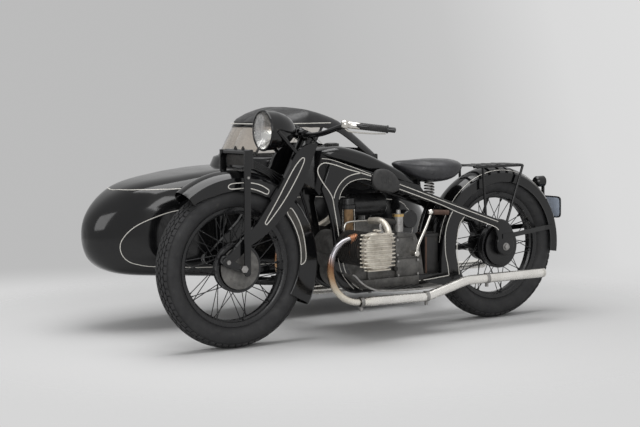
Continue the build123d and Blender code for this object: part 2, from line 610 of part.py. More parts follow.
screen_frame = screen_band(COAMING_TOP, 773, 0, 9) + screen_band(SCREEN_TOP - 3, SCREEN_TOP + 9, 0, 9)
posts = screen_band(773, SCREEN_TOP - 3, 0, 9)
posts &= slab((SIDE_REAR - 6, COAMING_TOP),
              [(SIDE_REAR + 12, COAMING_TOP), (SIDE_REAR + 12 - SCREEN_LEAN, SCREEN_TOP),
               (SIDE_REAR - 6 - SCREEN_LEAN, SCREEN_TOP)], CAR_Y - 400, CAR_Y + 400)
screen_frame += posts
keep(screen_frame, "windscreen_frame")
keep(screen_band(773, SCREEN_TOP - 3, 2, 7) - screen_frame, "windscreen_glass")

# ---------------------------------------------------------------- hood
HOOD_LOW = SCREEN_TOP + 9.0


def make_hood(inset):
    """Roof solid: plan of the screen's top edge where it meets the roof's side view."""
    half = HOOD_HALF + 3 - inset
    back = -SCREEN_LEAN
    front, turn = 1014 + back - inset, 840 + back
    plan = prism((turn, CAR_Y + half), [((turn + 0.707 * (front - turn), CAR_Y + 0.745 * half), (front, CAR_Y)),
                                        ((turn + 0.707 * (front - turn), CAR_Y - 0.745 * half),
                                         (turn, CAR_Y - half)),
                                        (300, CAR_Y - half), (300, CAR_Y + half)], 700, 1100)
    i = inset
    drop = HOOD_LOW if inset == 0 else HOOD_LOW - 40
    low_rear = (345 + 1.2 * i, COAMING_TOP if inset == 0 else COAMING_TOP - 30)
    side = slab((940 - i, drop), [((900 - i, 975 - i), (800, 1003 - i)), ((690, 990 - i), (560, 935 - i)),
                                  low_rear, (low_rear[0] + 52, low_rear[1]), (623, drop)],
                CAR_Y - 400, CAR_Y + 400)
    return plan & side


hood = make_hood(0) - make_hood(8)
with BuildPart() as rear_window:
    with Locations((430, CAR_Y, 842)):
        Box(300, 2 * HOOD_HALF - 80, 96)
hood -= rear_window.part
keep(hood, "hood")

# ---------------------------------------------------------------- sidecar mudguard
car_guard = make_mudguard(wx, wy, 374, 70, 60, 5, 185)
for mark in (1, -1):
    angle = radians(90 + mark * 28)
    tip = (wx + 325 * cos(angle), wy + 69, AXLE_Z + 325 * sin(angle))
    car_guard += rod((wx - mark * 12, -1015, 350), tip, 8)
car_guard -= chassis
keep(car_guard, "sidecar_mudguard")

# ---------------------------------------------------------------- placing and writing
whole = Compound([piece for piece in pieces]).bounding_box()
row_shift = Location((-(whole.min.X + whole.max.X) / 2, -(whole.min.Y + whole.max.Y) / 2, -whole.min.Z))
print("box before the shift", whole.min, whole.max, "shift", row_shift.position)
for piece in pieces:
    placed = piece.moved(row_shift)
    placed.label = piece.label
    export_step(placed, "parts/" + piece.label + ".step")
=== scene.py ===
# %% [markdown]
# This lesson dresses a packed construction model of an old sidecar outfit: a flat twin in a pressed
# steel frame with a boat-shaped passenger body on its right. The construction is the fixed frame. It
# is loaded first, and nothing in it is ever moved. Everything below is drawn
# in millimetres from the rear axle (x forward, y to the rider's left, z up from the ground), because
# those are the numbers a frame builder would use, and is turned into metres at the very end.

# %% Load the frame
import bmesh
import bpy
import numpy as np
from mathutils import Matrix, Vector
from mathutils.bvhtree import BVHTree
from mathutils.geometry import tessellate_polygon


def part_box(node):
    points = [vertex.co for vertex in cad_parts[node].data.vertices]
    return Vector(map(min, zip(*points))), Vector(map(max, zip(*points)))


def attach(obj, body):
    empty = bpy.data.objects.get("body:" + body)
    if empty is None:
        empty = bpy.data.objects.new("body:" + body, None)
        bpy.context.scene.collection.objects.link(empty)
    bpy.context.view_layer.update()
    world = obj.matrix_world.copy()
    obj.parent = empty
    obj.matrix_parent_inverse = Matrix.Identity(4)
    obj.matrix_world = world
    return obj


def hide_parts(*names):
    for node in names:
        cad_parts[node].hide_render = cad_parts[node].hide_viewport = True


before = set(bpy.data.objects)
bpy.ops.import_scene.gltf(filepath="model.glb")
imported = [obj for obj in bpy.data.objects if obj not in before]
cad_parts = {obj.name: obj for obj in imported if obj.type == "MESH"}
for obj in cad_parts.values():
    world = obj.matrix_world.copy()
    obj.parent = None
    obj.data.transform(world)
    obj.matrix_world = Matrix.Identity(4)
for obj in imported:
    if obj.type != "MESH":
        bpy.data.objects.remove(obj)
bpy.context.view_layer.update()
rear_low, rear_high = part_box("rear_tyre")
HOME = np.array([(rear_low.x + rear_high.x) / 2, (rear_low.y + rear_high.y) / 2, 0.0])
print("rear axle stands at", HOME.round(4), "metres;", len(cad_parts), "nodes")

WHEELBASE = 1380.0
AXLE_Z = 340.0
CAR_Y = -715.0
WHEEL_CAR = (150.0, -1180.0)
MACHINE, FORK = "machine", "steered fork"
FRONT_WHEEL, REAR_WHEEL, CAR_WHEEL = "front road wheel", "rear road wheel", "sidecar road wheel"

# %% [markdown]
# Every surface here is a grid of points that a formula gives: a circle carried along a pipe's line, a
# rim's section turned about its axle, a sheet over two parameters. One function turns any number of
# such grids into one mesh, welds the seams and poles shut and turns the faces outwards.

# %% Grids into meshes


def quads(rows, cols, wrap_rows, wrap_cols):
    """Face (i, j) joins grid points (i, j), (i+1, j), (i+1, j+1), (i, j+1); a wrapped side closes."""
    i = np.arange(rows if wrap_rows else rows - 1)
    j = np.arange(cols if wrap_cols else cols - 1)
    a, b = np.meshgrid(i, j, indexing="ij")
    c, d = (a + 1) % rows, (b + 1) % cols
    return np.stack([a * cols + b, c * cols + b, c * cols + d, a * cols + d], -1).reshape(-1, 4)


def grid(points, wrap_rows=False, wrap_cols=False):
    """Shape from a (rows, cols, 3) array of points in millimetres."""
    points = np.asarray(points, float)
    rows, cols = points.shape[:2]
    return points.reshape(-1, 3), quads(rows, cols, wrap_rows, wrap_cols).tolist()


def merge(*shapes):
    """Several shapes as one: points stacked, face numbers moved up by the points before them."""
    points, faces, count = [], [], 0
    for verts, polys in shapes:
        points.append(verts)
        faces += [[v + count for v in poly] for poly in polys]
        count += len(verts)
    return np.concatenate(points), faces


def piece(name, shapes, material, body, replaces=(), sharp=32.0, weld=0.02):
    """Mesh object from shapes in millimetres: weld, point outwards, smooth below the sharp angle."""
    verts, faces = merge(*shapes)
    mesh = bpy.data.meshes.new(name)
    mesh.from_pydata((verts / 1000.0 + HOME).tolist(), [], faces)
    shell = bmesh.new()
    shell.from_mesh(mesh)
    bmesh.ops.remove_doubles(shell, verts=shell.verts, dist=weld / 1000.0)
    bmesh.ops.dissolve_degenerate(shell, dist=1e-6, edges=shell.edges)
    bmesh.ops.recalc_face_normals(shell, faces=shell.faces)
    shell.to_mesh(mesh)
    shell.free()
    mesh.shade_smooth()
    mesh.set_sharp_from_angle(angle=np.radians(sharp))
    mesh.materials.append(material)
    thing = bpy.data.objects.new(name, mesh)
    bpy.context.scene.collection.objects.link(thing)
    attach(thing, body)
    if replaces:
        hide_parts(*replaces)
    return thing


def unit(vectors):
    """Vectors divided by their length."""
    return vectors / np.maximum(np.linalg.norm(vectors, axis=-1, keepdims=True), 1e-9)


def arc(start, through, end, count=10):
    """Points from start to end on the circle through three points, whose centre is equally far."""
    a, b, c = (np.array(p, float) for p in (start, through, end))
    pull = np.array([b - a, c - a]) * 2
    centre = np.linalg.solve(pull, [b @ b - a @ a, c @ c - a @ a])
    turns = [np.arctan2(*(p - centre)[::-1]) for p in (a, b, c)]
    sweep = (turns[2] - turns[0]) % (2 * np.pi)
    if (turns[1] - turns[0]) % (2 * np.pi) > sweep:
        sweep -= 2 * np.pi
    angle = turns[0] + np.linspace(0, sweep, count)
    return centre + np.linalg.norm(a - centre) * np.stack([np.cos(angle), np.sin(angle)], -1)


def outline(start, steps, count=10):
    """Closed outline: a step is an end point for a line, or (point on the arc, end)."""
    points, here = [np.array([start], float)], start
    for step in steps:
        if isinstance(step[0], tuple):
            points.append(arc(here, step[0], step[1], count)[1:])
            here = step[1]
        else:
            points.append(np.array([step], float))
            here = step
    line = np.concatenate(points)
    return line[:-1] if np.allclose(line[0], line[-1]) else line


def bend(points, radii, count=6):
    """Polyline with each corner replaced by an arc that touches both runs."""
    points = [np.array(p, float) for p in points]
    line = [points[0][None]]
    for before, corner, after, radius in zip(points, points[1:], points[2:], radii):
        come, go = unit(before - corner), unit(after - corner)
        half = np.arccos(np.clip(come @ go, -1, 1)) / 2
        centre = corner + unit(come + go) * radius / np.sin(half)
        first = corner + come * radius / np.tan(half) - centre
        last = corner + go * radius / np.tan(half) - centre
        turn = np.pi - 2 * half
        t = np.linspace(0, 1, count + 1)[:, None]
        line.append(centre + (np.sin((1 - t) * turn) * first + np.sin(t * turn) * last) / np.sin(turn))
    line.append(points[-1][None])
    return np.concatenate(line)


def resample(path, count):
    """The same line with evenly spaced points, by length along it."""
    path = np.asarray(path, float)
    along = np.concatenate([[0], np.cumsum(np.linalg.norm(np.diff(path, axis=0), axis=1))])
    where = np.linspace(0, along[-1], count)
    return np.stack([np.interp(where, along, path[:, k]) for k in range(path.shape[1])], -1)


def tube(path, radius, sides=12, ref=(0, 0, 1), ends=True, squash=1.0, closed=False):
    """Circle carried along a path: centre + r (cos t side + sin t up), ends gathered to a point."""
    path = np.asarray(path, float)
    step = np.roll(path, -1, 0) - np.roll(path, 1, 0) if closed else np.gradient(path, axis=0)
    tangent = unit(step)
    side = unit(np.cross(tangent, np.array(ref, float)))
    up = np.cross(side, tangent)
    t = np.linspace(0, 2 * np.pi, sides, endpoint=False)
    r = np.broadcast_to(np.asarray(radius, float), (len(path),))[:, None, None]
    ring = path[:, None] + r * (np.cos(t)[None, :, None] * side[:, None]
                                + squash * np.sin(t)[None, :, None] * up[:, None])
    if ends and not closed:
        first = np.broadcast_to(path[0], ring[:1].shape)
        last = np.broadcast_to(path[-1], ring[:1].shape)
        ring = np.concatenate([first, ring, last])
    return grid(ring, closed, True)


def lathe(profile, centre, sides=48, axis="y", closed=True, start=0.0, sweep=360.0):
    """Section (along, radius) turned about an axis through centre: radius (cos a, sin a), along."""
    profile = np.asarray(profile, float)
    full = sweep >= 360.0
    a = np.radians(start + np.linspace(0, sweep, sides, endpoint=not full))[:, None]
    along, radius = profile[None, :, 0] + 0 * a, profile[None, :, 1]
    first, second = radius * np.cos(a), radius * np.sin(a)
    order = {"y": (first, along, second), "x": (along, first, second), "z": (first, second, along)}
    points = np.stack(order[axis], -1) + np.array(centre, float)
    return grid(points, full, closed)


def inset(loop, distance):
    """Closed plane outline moved inwards along the mean normal of its two edges at each point."""
    ahead, back = np.roll(loop, -1, 0) - loop, loop - np.roll(loop, 1, 0)
    normal = unit(unit(np.stack([-ahead[:, 1], ahead[:, 0]], -1))
                  + unit(np.stack([-back[:, 1], back[:, 0]], -1)))
    area = np.sum(loop[:, 0] * np.roll(loop[:, 1], -1) - np.roll(loop[:, 0], -1) * loop[:, 1])
    return loop + normal * distance * np.sign(area)


def plate(loops, low, high, edge=2.0, plane="xz", steps=3):
    """Flat plate between two outlines with rounded edges: walls are the loops shrunk by a quarter
    circle at each face, and both faces are triangulated round the holes."""
    shapes, faces_at = [], {low: [], high: []}
    t = np.linspace(0, np.pi / 2, steps + 1)
    shrink = np.concatenate([edge * (1 - np.sin(t)), edge * (1 - np.cos(t))])
    depth = np.concatenate([low + edge * (1 - np.cos(t)), high - edge + edge * np.sin(t)])
    for index, loop in enumerate(loops):
        loop = np.asarray(loop, float)
        sign = 1.0 if index == 0 else -1.0
        rings = [np.column_stack([inset(loop, sign * s), np.full(len(loop), d)])
                 for s, d in zip(shrink, depth)]
        shapes.append(grid(np.stack(rings), False, True))
        faces_at[low].append(rings[0])
        faces_at[high].append(rings[-1])
    for rings in faces_at.values():
        flat = np.concatenate(rings)
        shapes.append((flat, [list(f) for f in tessellate_polygon([r.tolist() for r in rings])]))
    verts, faces = merge(*shapes)
    order = {"xz": (0, 2, 1), "xy": (0, 1, 2), "yz": (2, 0, 1)}[plane]
    return verts[:, order], faces


def block(low, high, edge=2.0, plane="xz"):
    """Box with rounded edges, as a plate."""
    axes = {"xz": (0, 2, 1), "xy": (0, 1, 2), "yz": (1, 2, 0)}[plane]
    (a, b, c), (d, e, f) = ([corner[k] for k in axes] for corner in (low, high))
    return plate([np.array([(a, b), (d, b), (d, e), (a, e)])], c, f, edge, plane)


def shell(outer, inner):
    """Closed skin between two grids of one size: both faces and the strips along the four borders."""
    outer, inner = np.asarray(outer, float), np.asarray(inner, float)
    borders = [np.stack([outer[0], inner[0]]), np.stack([outer[-1], inner[-1]]),
               np.stack([outer[:, 0], inner[:, 0]]), np.stack([outer[:, -1], inner[:, -1]])]
    return merge(grid(outer), grid(inner), *[grid(b) for b in borders])


def mirror_y(shape):
    """The same shape on the other side of the machine's middle plane."""
    verts, faces = shape
    return verts * np.array([1, -1, 1.0]), faces


def both_sides(shapes):
    """The shapes, followed by their mirror images: every y becomes minus y."""
    return list(shapes) + [mirror_y(s) for s in shapes]


def shift(shape, x=0.0, y=0.0, z=0.0):
    """Shape moved."""
    return shape[0] + np.array([x, y, z], float), shape[1]


def on_side(flat, y):
    """Points (x, z) stood up in the plane at y."""
    flat = np.asarray(flat, float)
    return np.column_stack([flat[:, 0], np.full(len(flat), float(y)), flat[:, 1]])


# %% [markdown]
# The outfit stands on a pale floor in a grey studio. The world is a little darker towards the
# machine's right rear than towards its front left. The floor is a disc that fades into that grey, so
# there is no horizon. Camera and mirror-like rays see the grey itself, while light on the object comes
# from one wide lamp overhead and two fill lamps.

# %% Camera, floor, light
EYE = np.array([3971.5, 4886.2, 1025.6])
YAW, PITCH, ROLL = np.radians([-121.76, -4.844, -0.664])
FOCAL_PX, FRAME_PX = 1334.3, 640.0


def aim(yaw, pitch, roll):
    """Camera axes: forward from yaw and pitch, right level, then both turned about forward."""
    forward = np.array([np.cos(pitch) * np.cos(yaw), np.cos(pitch) * np.sin(yaw), np.sin(pitch)])
    right = unit(np.cross(forward, [0, 0, 1.0]))
    up = np.cross(right, forward)
    return (np.cos(roll) * right + np.sin(roll) * up, np.cos(roll) * up - np.sin(roll) * right, -forward)


lens = bpy.data.cameras.new("view")
lens.sensor_width = 36.0
lens.lens = FOCAL_PX / FRAME_PX * lens.sensor_width
lens.dof.use_dof = False
lens.clip_end = 200.0
camera = bpy.data.objects.new("view", lens)
turn = Matrix(np.array(aim(YAW, PITCH, ROLL)).T.tolist()).to_4x4()
camera.matrix_world = Matrix.Translation((EYE / 1000 + HOME).tolist()) @ turn
bpy.context.scene.collection.objects.link(camera)
bpy.context.scene.camera = camera


def nodes_of(material):
    """Empty node tree of a material, with its maker."""
    material.use_nodes = True
    tree = material.node_tree
    tree.nodes.clear()
    return tree


def add(tree, kind, **values):
    """New node; names with a leading capital or space are input sockets, the rest are settings."""
    node = tree.nodes.new(kind)
    for key, value in values.items():
        if key in node.inputs:
            node.inputs[key].default_value = value
        else:
            setattr(node, key, value)
    return node


def ramp(tree, source, *stops):
    """Colour ramp fed by a socket; stops are (place, grey or colour)."""
    node = add(tree, "ShaderNodeValToRGB")
    while len(node.color_ramp.elements) < len(stops):
        node.color_ramp.elements.new(0.5)
    for element, (place, tone) in zip(node.color_ramp.elements, stops):
        element.position = place
        element.color = (*tone, 1.0) if isinstance(tone, tuple) else (tone, tone, tone, 1.0)
    tree.links.new(source, node.inputs[0])
    return node.outputs[0]


AMBIENT, FLOOR_GREY, LOW_GREY = 0.42, 0.66, 0.672
FLOOR_FADE = (1.25, 2.1)     # metres from the middle where the floor begins and ends its fade
HORIZON = (-0.118, -0.138)   # heights of a view direction between which wall turns into floor grey

world = bpy.data.worlds.new("studio")
bpy.context.scene.world = world
sky = nodes_of(world)
rays = add(sky, "ShaderNodeLightPath")
around = add(sky, "ShaderNodeTexCoord")
across = add(sky, "ShaderNodeVectorMath", operation="DOT_PRODUCT")
across.inputs[1].default_value = (-0.82, 0.51, 0.26)
sky.links.new(around.outputs["Generated"], across.inputs[0])
tone = ramp(sky, across.outputs["Value"], (0.0, 0.50), (0.10, 0.56), (0.18, 0.70), (0.27, 0.735))
seen = add(sky, "ShaderNodeMath", operation="MAXIMUM")
sky.links.new(rays.outputs["Is Camera Ray"], seen.inputs[0])
glossy = add(sky, "ShaderNodeMath", operation="MAXIMUM")
sky.links.new(rays.outputs["Is Glossy Ray"], glossy.inputs[0])
sky.links.new(rays.outputs["Is Transmission Ray"], glossy.inputs[1])
sky.links.new(glossy.outputs[0], seen.inputs[1])
upward = add(sky, "ShaderNodeSeparateXYZ")
sky.links.new(around.outputs["Generated"], upward.inputs[0])
shown = add(sky, "ShaderNodeBackground", Strength=1.0)
lit = add(sky, "ShaderNodeBackground", Color=(1, 1, 1, 1), Strength=AMBIENT)
pick = add(sky, "ShaderNodeMixShader")
lower = add(sky, "ShaderNodeMapRange", interpolation_type="SMOOTHSTEP")
lower.inputs["From Min"].default_value, lower.inputs["From Max"].default_value = HORIZON
sky.links.new(upward.outputs["Z"], lower.inputs["Value"])
wall = add(sky, "ShaderNodeMix", data_type="RGBA")
sky.links.new(lower.outputs[0], wall.inputs["Factor"])
sky.links.new(tone, wall.inputs["A"])
wall.inputs["B"].default_value = (LOW_GREY, LOW_GREY, LOW_GREY, 1.0)
sky.links.new(wall.outputs["Result"], shown.inputs["Color"])
sky.links.new(seen.outputs[0], pick.inputs[0])
sky.links.new(lit.outputs[0], pick.inputs[1])
sky.links.new(shown.outputs[0], pick.inputs[2])
sky.links.new(pick.outputs[0], add(sky, "ShaderNodeOutputWorld").inputs[0])

ground = bpy.data.materials.new("pale_floor")
tree = nodes_of(ground)
place = add(tree, "ShaderNodeTexCoord")
radius = add(tree, "ShaderNodeVectorMath", operation="LENGTH")
tree.links.new(place.outputs["Object"], radius.inputs[0])
scaled = add(tree, "ShaderNodeMapRange", interpolation_type="SMOOTHSTEP")
scaled.inputs["From Min"].default_value, scaled.inputs["From Max"].default_value = FLOOR_FADE
tree.links.new(radius.outputs["Value"], scaled.inputs["Value"])
fade = scaled.outputs[0]
matt = add(tree, "ShaderNodeBsdfDiffuse", Color=(FLOOR_GREY, FLOOR_GREY, FLOOR_GREY, 1))
clear = add(tree, "ShaderNodeBsdfTransparent")
blend = add(tree, "ShaderNodeMixShader")
tree.links.new(fade, blend.inputs[0])
tree.links.new(matt.outputs[0], blend.inputs[1])
tree.links.new(clear.outputs[0], blend.inputs[2])
tree.links.new(blend.outputs[0], add(tree, "ShaderNodeOutputMaterial").inputs[0])
disc = bpy.data.meshes.new("floor")
turns = np.linspace(0, 2 * np.pi, 96, endpoint=False)
rim = np.stack([3.6 * np.cos(turns), 3.6 * np.sin(turns), np.full(96, -0.0006)], -1)
disc.from_pydata(rim.tolist(), [], [list(range(96))])
disc.materials.append(ground)
floor = bpy.data.objects.new("floor", disc)
bpy.context.scene.collection.objects.link(floor)


def lamp(name, place, target, size, power):
    """Square area lamp that faces its target."""
    light = bpy.data.lights.new(name, "AREA")
    light.size = size
    light.energy = power
    thing = bpy.data.objects.new(name, light)
    place, target = np.array(place, float), np.array(target, float)
    back = unit(place - target)
    right = unit(np.cross([0, 1.0, 0.01], back))
    axes = np.array([right, np.cross(back, right), back]).T
    thing.matrix_world = Matrix.Translation(place.tolist()) @ Matrix(axes.tolist()).to_4x4()
    bpy.context.scene.collection.objects.link(thing)


lamp("overhead", (0.4, 0.3, 4.2), (0.0, 0.0, 0.4), 3.2, 115.0)
lamp("fill_left", (1.6, 4.2, 1.9), (0.0, 0.2, 0.5), 2.0, 42.0)
lamp("fill_front", (4.4, 0.2, 1.6), (0.3, -0.2, 0.5), 1.8, 26.0)
print("camera lens %.1f mm" % lens.lens)

# %% [markdown]
# Old metal is never one flat colour. Each finish drifts between a darker and a paler tone with a soft
# noise, its roughness drifts with a second noise, and a fine grain gives a bump. The noises read the
# object's own coordinates in metres, so a scale of 40 means patches of about 25 mm.

# %% Finishes


def finish(name, dark, pale, scale, rough, metallic=0.0, bump=0.0, grain=400.0, spots=(), **sockets):
    """Principled surface: colour between dark and pale, roughness between two values, fine bump."""
    material = bpy.data.materials.new(name)
    tree = nodes_of(material)
    shader = add(tree, "ShaderNodeBsdfPrincipled", Metallic=metallic, **sockets)
    where = add(tree, "ShaderNodeTexCoord")
    soft = add(tree, "ShaderNodeTexNoise", Scale=scale, Detail=5.0, Roughness=0.62)
    tree.links.new(where.outputs["Object"], soft.inputs["Vector"])
    colour = ramp(tree, soft.outputs["Fac"], (0.32, dark), (0.68, pale))
    for spot_scale, low, high, tint in spots:
        patch = add(tree, "ShaderNodeTexNoise", Scale=spot_scale, Detail=8.0, Roughness=0.7)
        tree.links.new(where.outputs["Object"], patch.inputs["Vector"])
        mask = ramp(tree, patch.outputs["Fac"], (low, 0.0), (high, 1.0))
        mix = add(tree, "ShaderNodeMix", data_type="RGBA")
        tree.links.new(mask, mix.inputs["Factor"])
        tree.links.new(colour, mix.inputs["A"])
        mix.inputs["B"].default_value = (*tint, 1.0)
        colour = mix.outputs["Result"]
    tree.links.new(colour, shader.inputs["Base Color"])
    wear = add(tree, "ShaderNodeTexNoise", Scale=scale * 2.3, Detail=4.0)
    tree.links.new(where.outputs["Object"], wear.inputs["Vector"])
    sheen = ramp(tree, wear.outputs["Fac"], (0.3, rough[0]), (0.7, rough[1]))
    tree.links.new(sheen, shader.inputs["Roughness"])
    if bump:
        fine = add(tree, "ShaderNodeTexNoise", Scale=grain, Detail=3.0)
        tree.links.new(where.outputs["Object"], fine.inputs["Vector"])
        relief = add(tree, "ShaderNodeBump", Strength=bump, Distance=0.001)
        tree.links.new(fine.outputs["Fac"], relief.inputs["Height"])
        tree.links.new(relief.outputs["Normal"], shader.inputs["Normal"])
    tree.links.new(shader.outputs[0], add(tree, "ShaderNodeOutputMaterial").inputs[0])
    return material


RUST = (0.09, 0.045, 0.025)
enamel = finish("black_enamel", (0.0035, 0.0036, 0.004), (0.006, 0.006, 0.0065), 9.0, (0.07, 0.16), bump=0.02,
                grain=90.0, spots=((30.0, 0.66, 0.8, (0.018, 0.017, 0.016)),))
worn_enamel = finish("worn_enamel", (0.006, 0.006, 0.007), (0.013, 0.013, 0.013), 30.0, (0.24, 0.42), bump=0.06,
                     grain=300.0, spots=((70.0, 0.62, 0.76, (0.04, 0.037, 0.033)),))
wheel_enamel = finish("wheel_enamel", (0.005, 0.005, 0.006), (0.011, 0.011, 0.012), 25.0, (0.2, 0.36), bump=0.04,
                      spots=((55.0, 0.64, 0.8, (0.035, 0.032, 0.03)),))
stripe_paint = finish("pale_line", (0.62, 0.60, 0.55), (0.78, 0.76, 0.71), 60.0, (0.3, 0.45))
tyre_rubber = finish("tyre_rubber", (0.012, 0.012, 0.013), (0.022, 0.022, 0.023), 18.0, (0.55, 0.74), bump=0.25,
                     grain=700.0, spots=((40.0, 0.58, 0.75, (0.045, 0.043, 0.04)),))
nickel = finish("nickel", (0.56, 0.54, 0.5), (0.72, 0.7, 0.66), 14.0, (0.13, 0.26), metallic=1.0, bump=0.03,
                spots=((120.0, 0.66, 0.74, (0.3, 0.26, 0.2)),))
steel = finish("bare_steel", (0.24, 0.235, 0.225), (0.42, 0.41, 0.4), 40.0, (0.3, 0.5), metallic=1.0, bump=0.1,
               spots=((90.0, 0.6, 0.74, RUST),))
dull_alloy = finish("weathered_alloy", (0.085, 0.083, 0.08), (0.19, 0.185, 0.175), 22.0, (0.42, 0.62),
                    metallic=0.55, bump=0.3, grain=260.0,
                    spots=((16.0, 0.5, 0.72, (0.05, 0.045, 0.04)), (90.0, 0.62, 0.76, (0.3, 0.28, 0.25))))
head_alloy = finish("pale_alloy", (0.44, 0.40, 0.34), (0.72, 0.68, 0.6), 28.0, (0.36, 0.52), metallic=0.55,
                    bump=0.22, grain=500.0,
                    spots=((60.0, 0.6, 0.75, (0.2, 0.15, 0.1)), (140.0, 0.64, 0.72, (0.12, 0.09, 0.06))))
dark_iron = finish("dark_iron", (0.018, 0.017, 0.016), (0.04, 0.037, 0.034), 40.0, (0.45, 0.65), metallic=0.3,
                   bump=0.3, spots=((80.0, 0.58, 0.74, RUST),))
pad_rubber = finish("pad_rubber", (0.022, 0.022, 0.023), (0.042, 0.041, 0.04), 50.0, (0.5, 0.7), bump=0.3,
                    grain=900.0, spots=((30.0, 0.55, 0.75, (0.075, 0.072, 0.068)),))
grip_rubber = finish("grip_rubber", (0.010, 0.010, 0.010), (0.018, 0.018, 0.018), 60.0, (0.45, 0.6), bump=0.2)
pedal_rubber = finish("pedal_rubber", (0.06, 0.032, 0.022), (0.11, 0.06, 0.04), 60.0, (0.55, 0.75), bump=0.3)
moulded_case = finish("moulded_case", (0.008, 0.008, 0.008), (0.017, 0.016, 0.015), 30.0, (0.35, 0.55), bump=0.1,
                      spots=((45.0, 0.6, 0.78, (0.05, 0.04, 0.03)),))
brass = finish("brass", (0.45, 0.3, 0.12), (0.62, 0.45, 0.2), 50.0, (0.25, 0.4), metallic=1.0, bump=0.05)
plate_paint = finish("plate_paint", (0.33, 0.38, 0.46), (0.40, 0.45, 0.53), 30.0, (0.3, 0.45), bump=0.03,
                     spots=((60.0, 0.66, 0.8, (0.2, 0.2, 0.2)),))
mirror_metal = finish("reflector", (0.86, 0.85, 0.83), (0.92, 0.91, 0.89), 20.0, (0.04, 0.1), metallic=1.0)
print("finishes:", len(bpy.data.materials))


def clear_glass(name, tint, rough=0.02, alpha=1.0):
    """Clear glass: transmission on the shader's own sockets, with a faint drift of its tint."""
    material = finish(name, tint, tuple(min(1.0, c * 1.06) for c in tint), 6.0, (rough, rough * 1.6))
    shader = next(n for n in material.node_tree.nodes if n.type == "BSDF_PRINCIPLED")
    shader.inputs["Transmission Weight"].default_value = 1.0
    shader.inputs["IOR"].default_value = 1.45
    shader.inputs["Alpha"].default_value = alpha
    return material


screen_glass = clear_glass("screen_glass", (0.80, 0.76, 0.71))
lamp_glass = clear_glass("lamp_glass", (0.96, 0.96, 0.95))
red_glass = clear_glass("red_glass", (0.35, 0.01, 0.01), rough=0.1)

# %% [markdown]
# The tyre is one ring surface. Its section runs from bead to bead over bulged walls and a round crown,
# so a point is known by its angle round the wheel and by its length across the section. The tread
# blocks use the same two numbers: each is a small frustum, and arrays of them are bent onto the crown.

# %% Tyres
TYRE_R, TREAD_DEPTH = 340.0, 6.0
BEAD = (29.0, 250.0)
SHOULDER = (42.5, 322.0)
side_wall = arc(BEAD, (53.5, 287.0), SHOULDER, 18)
crown_half = arc(SHOULDER, (24.0, 331.0), (0.0, TYRE_R - TREAD_DEPTH), 12)[1:]
right_half = np.concatenate([side_wall, crown_half])
section = np.concatenate([right_half * [-1, 1], right_half[::-1][1:]])
across = np.concatenate([[0], np.cumsum(np.linalg.norm(np.diff(section, axis=0), axis=1))])
across -= across[-1] / 2


def on_tyre(angle, width, lift, centre):
    """Point at an angle round the wheel and a length across the section, raised along its normal."""
    y, r = np.interp(width, across, section[:, 0]), np.interp(width, across, section[:, 1])
    slope = np.gradient(section, across, axis=0)
    ny, nr = -np.interp(width, across, slope[:, 1]), np.interp(width, across, slope[:, 0])
    y, r = y + lift * ny, r + lift * nr
    return np.stack([r * np.cos(angle), y, r * np.sin(angle)], -1) + np.array([centre[0], centre[1], AXLE_Z])


def tread(centre, rows):
    """Blocks on the crown: rows are (across, length, width, number of corners, phase)."""
    shapes = []
    for offset, long, wide, corners, phase in rows:
        count = 66
        first = 2 * np.pi * (np.arange(count) + phase) / count
        turn = 2 * np.pi * (np.arange(corners) + 0.5) / corners
        along = np.cos(turn) / max(abs(np.cos(turn)))
        side = np.sin(turn) / max(abs(np.sin(turn)))
        rings = []
        for size, lift in ((1.0, -0.4), (0.97, TREAD_DEPTH - 1.0), (0.86, TREAD_DEPTH), (0.0, TREAD_DEPTH)):
            a = first[:, None] + along * size * long / 2 / 338.0
            w = offset + side * size * wide / 2
            rings.append(on_tyre(a, np.broadcast_to(w, a.shape), lift, centre))
        rings = np.stack(rings, 1)
        local = quads(4, corners, False, True)
        base = np.arange(count)[:, None, None] * 4 * corners
        shapes.append((rings.reshape(-1, 3), (base + local).reshape(-1, 4).tolist()))
    return merge(*shapes)


BLOCK_ROWS = (  # across, length, width, corners, phase
    (-40.0, 27.0, 15.0, 4, 0.0), (-23.0, 30.0, 18.5, 6, 0.5), (-5.5, 28.0, 15.5, 6, 0.0), (10.5, 28.0, 13.5, 6, 0.5),
    (26.0, 30.0, 16.0, 6, 0.0), (41.5, 27.0, 14.0, 4, 0.5))


def make_tyre(name, node, centre, body):
    """Ring surface with low ribs on the walls, closed under the rim, plus its tread blocks."""
    a = np.linspace(0, 2 * np.pi, 128, endpoint=False)[:, None]
    rib = np.where(np.abs(np.abs(across) - 62) < 1.6, 0.8, 0) + np.where(np.abs(np.abs(across) - 88) < 1.2, 0.7, 0)
    skin = on_tyre(a + 0 * across, across + 0 * a, rib + 0 * a, centre)
    both = np.array([[28.0, -28.0]]) + 0 * a
    bed = np.stack([238 * np.cos(a) + 0 * both, both, 238 * np.sin(a) + 0 * both], -1)
    ring = np.concatenate([skin, bed + np.array([centre[0], centre[1], AXLE_Z])], 1)
    return piece(name, [grid(ring, True, True), tread(centre, BLOCK_ROWS)], tyre_rubber, body, (node,),
                 sharp=28)


make_tyre("front_block_tyre", "front_tyre", (WHEELBASE, 0.0), FRONT_WHEEL)
make_tyre("rear_block_tyre", "rear_tyre", (0.0, 0.0), REAR_WHEEL)
make_tyre("sidecar_block_tyre", "sidecar_tyre", WHEEL_CAR, CAR_WHEEL)
print("tread blocks on each tyre:", 66 * len(BLOCK_ROWS))

# %% [markdown]
# A laced wheel is a well-base rim, a hub with its brake drum and forty spokes. Half of the spokes run
# to each side of the hub, and on each side they lean forward and back in turn, so that they cross.

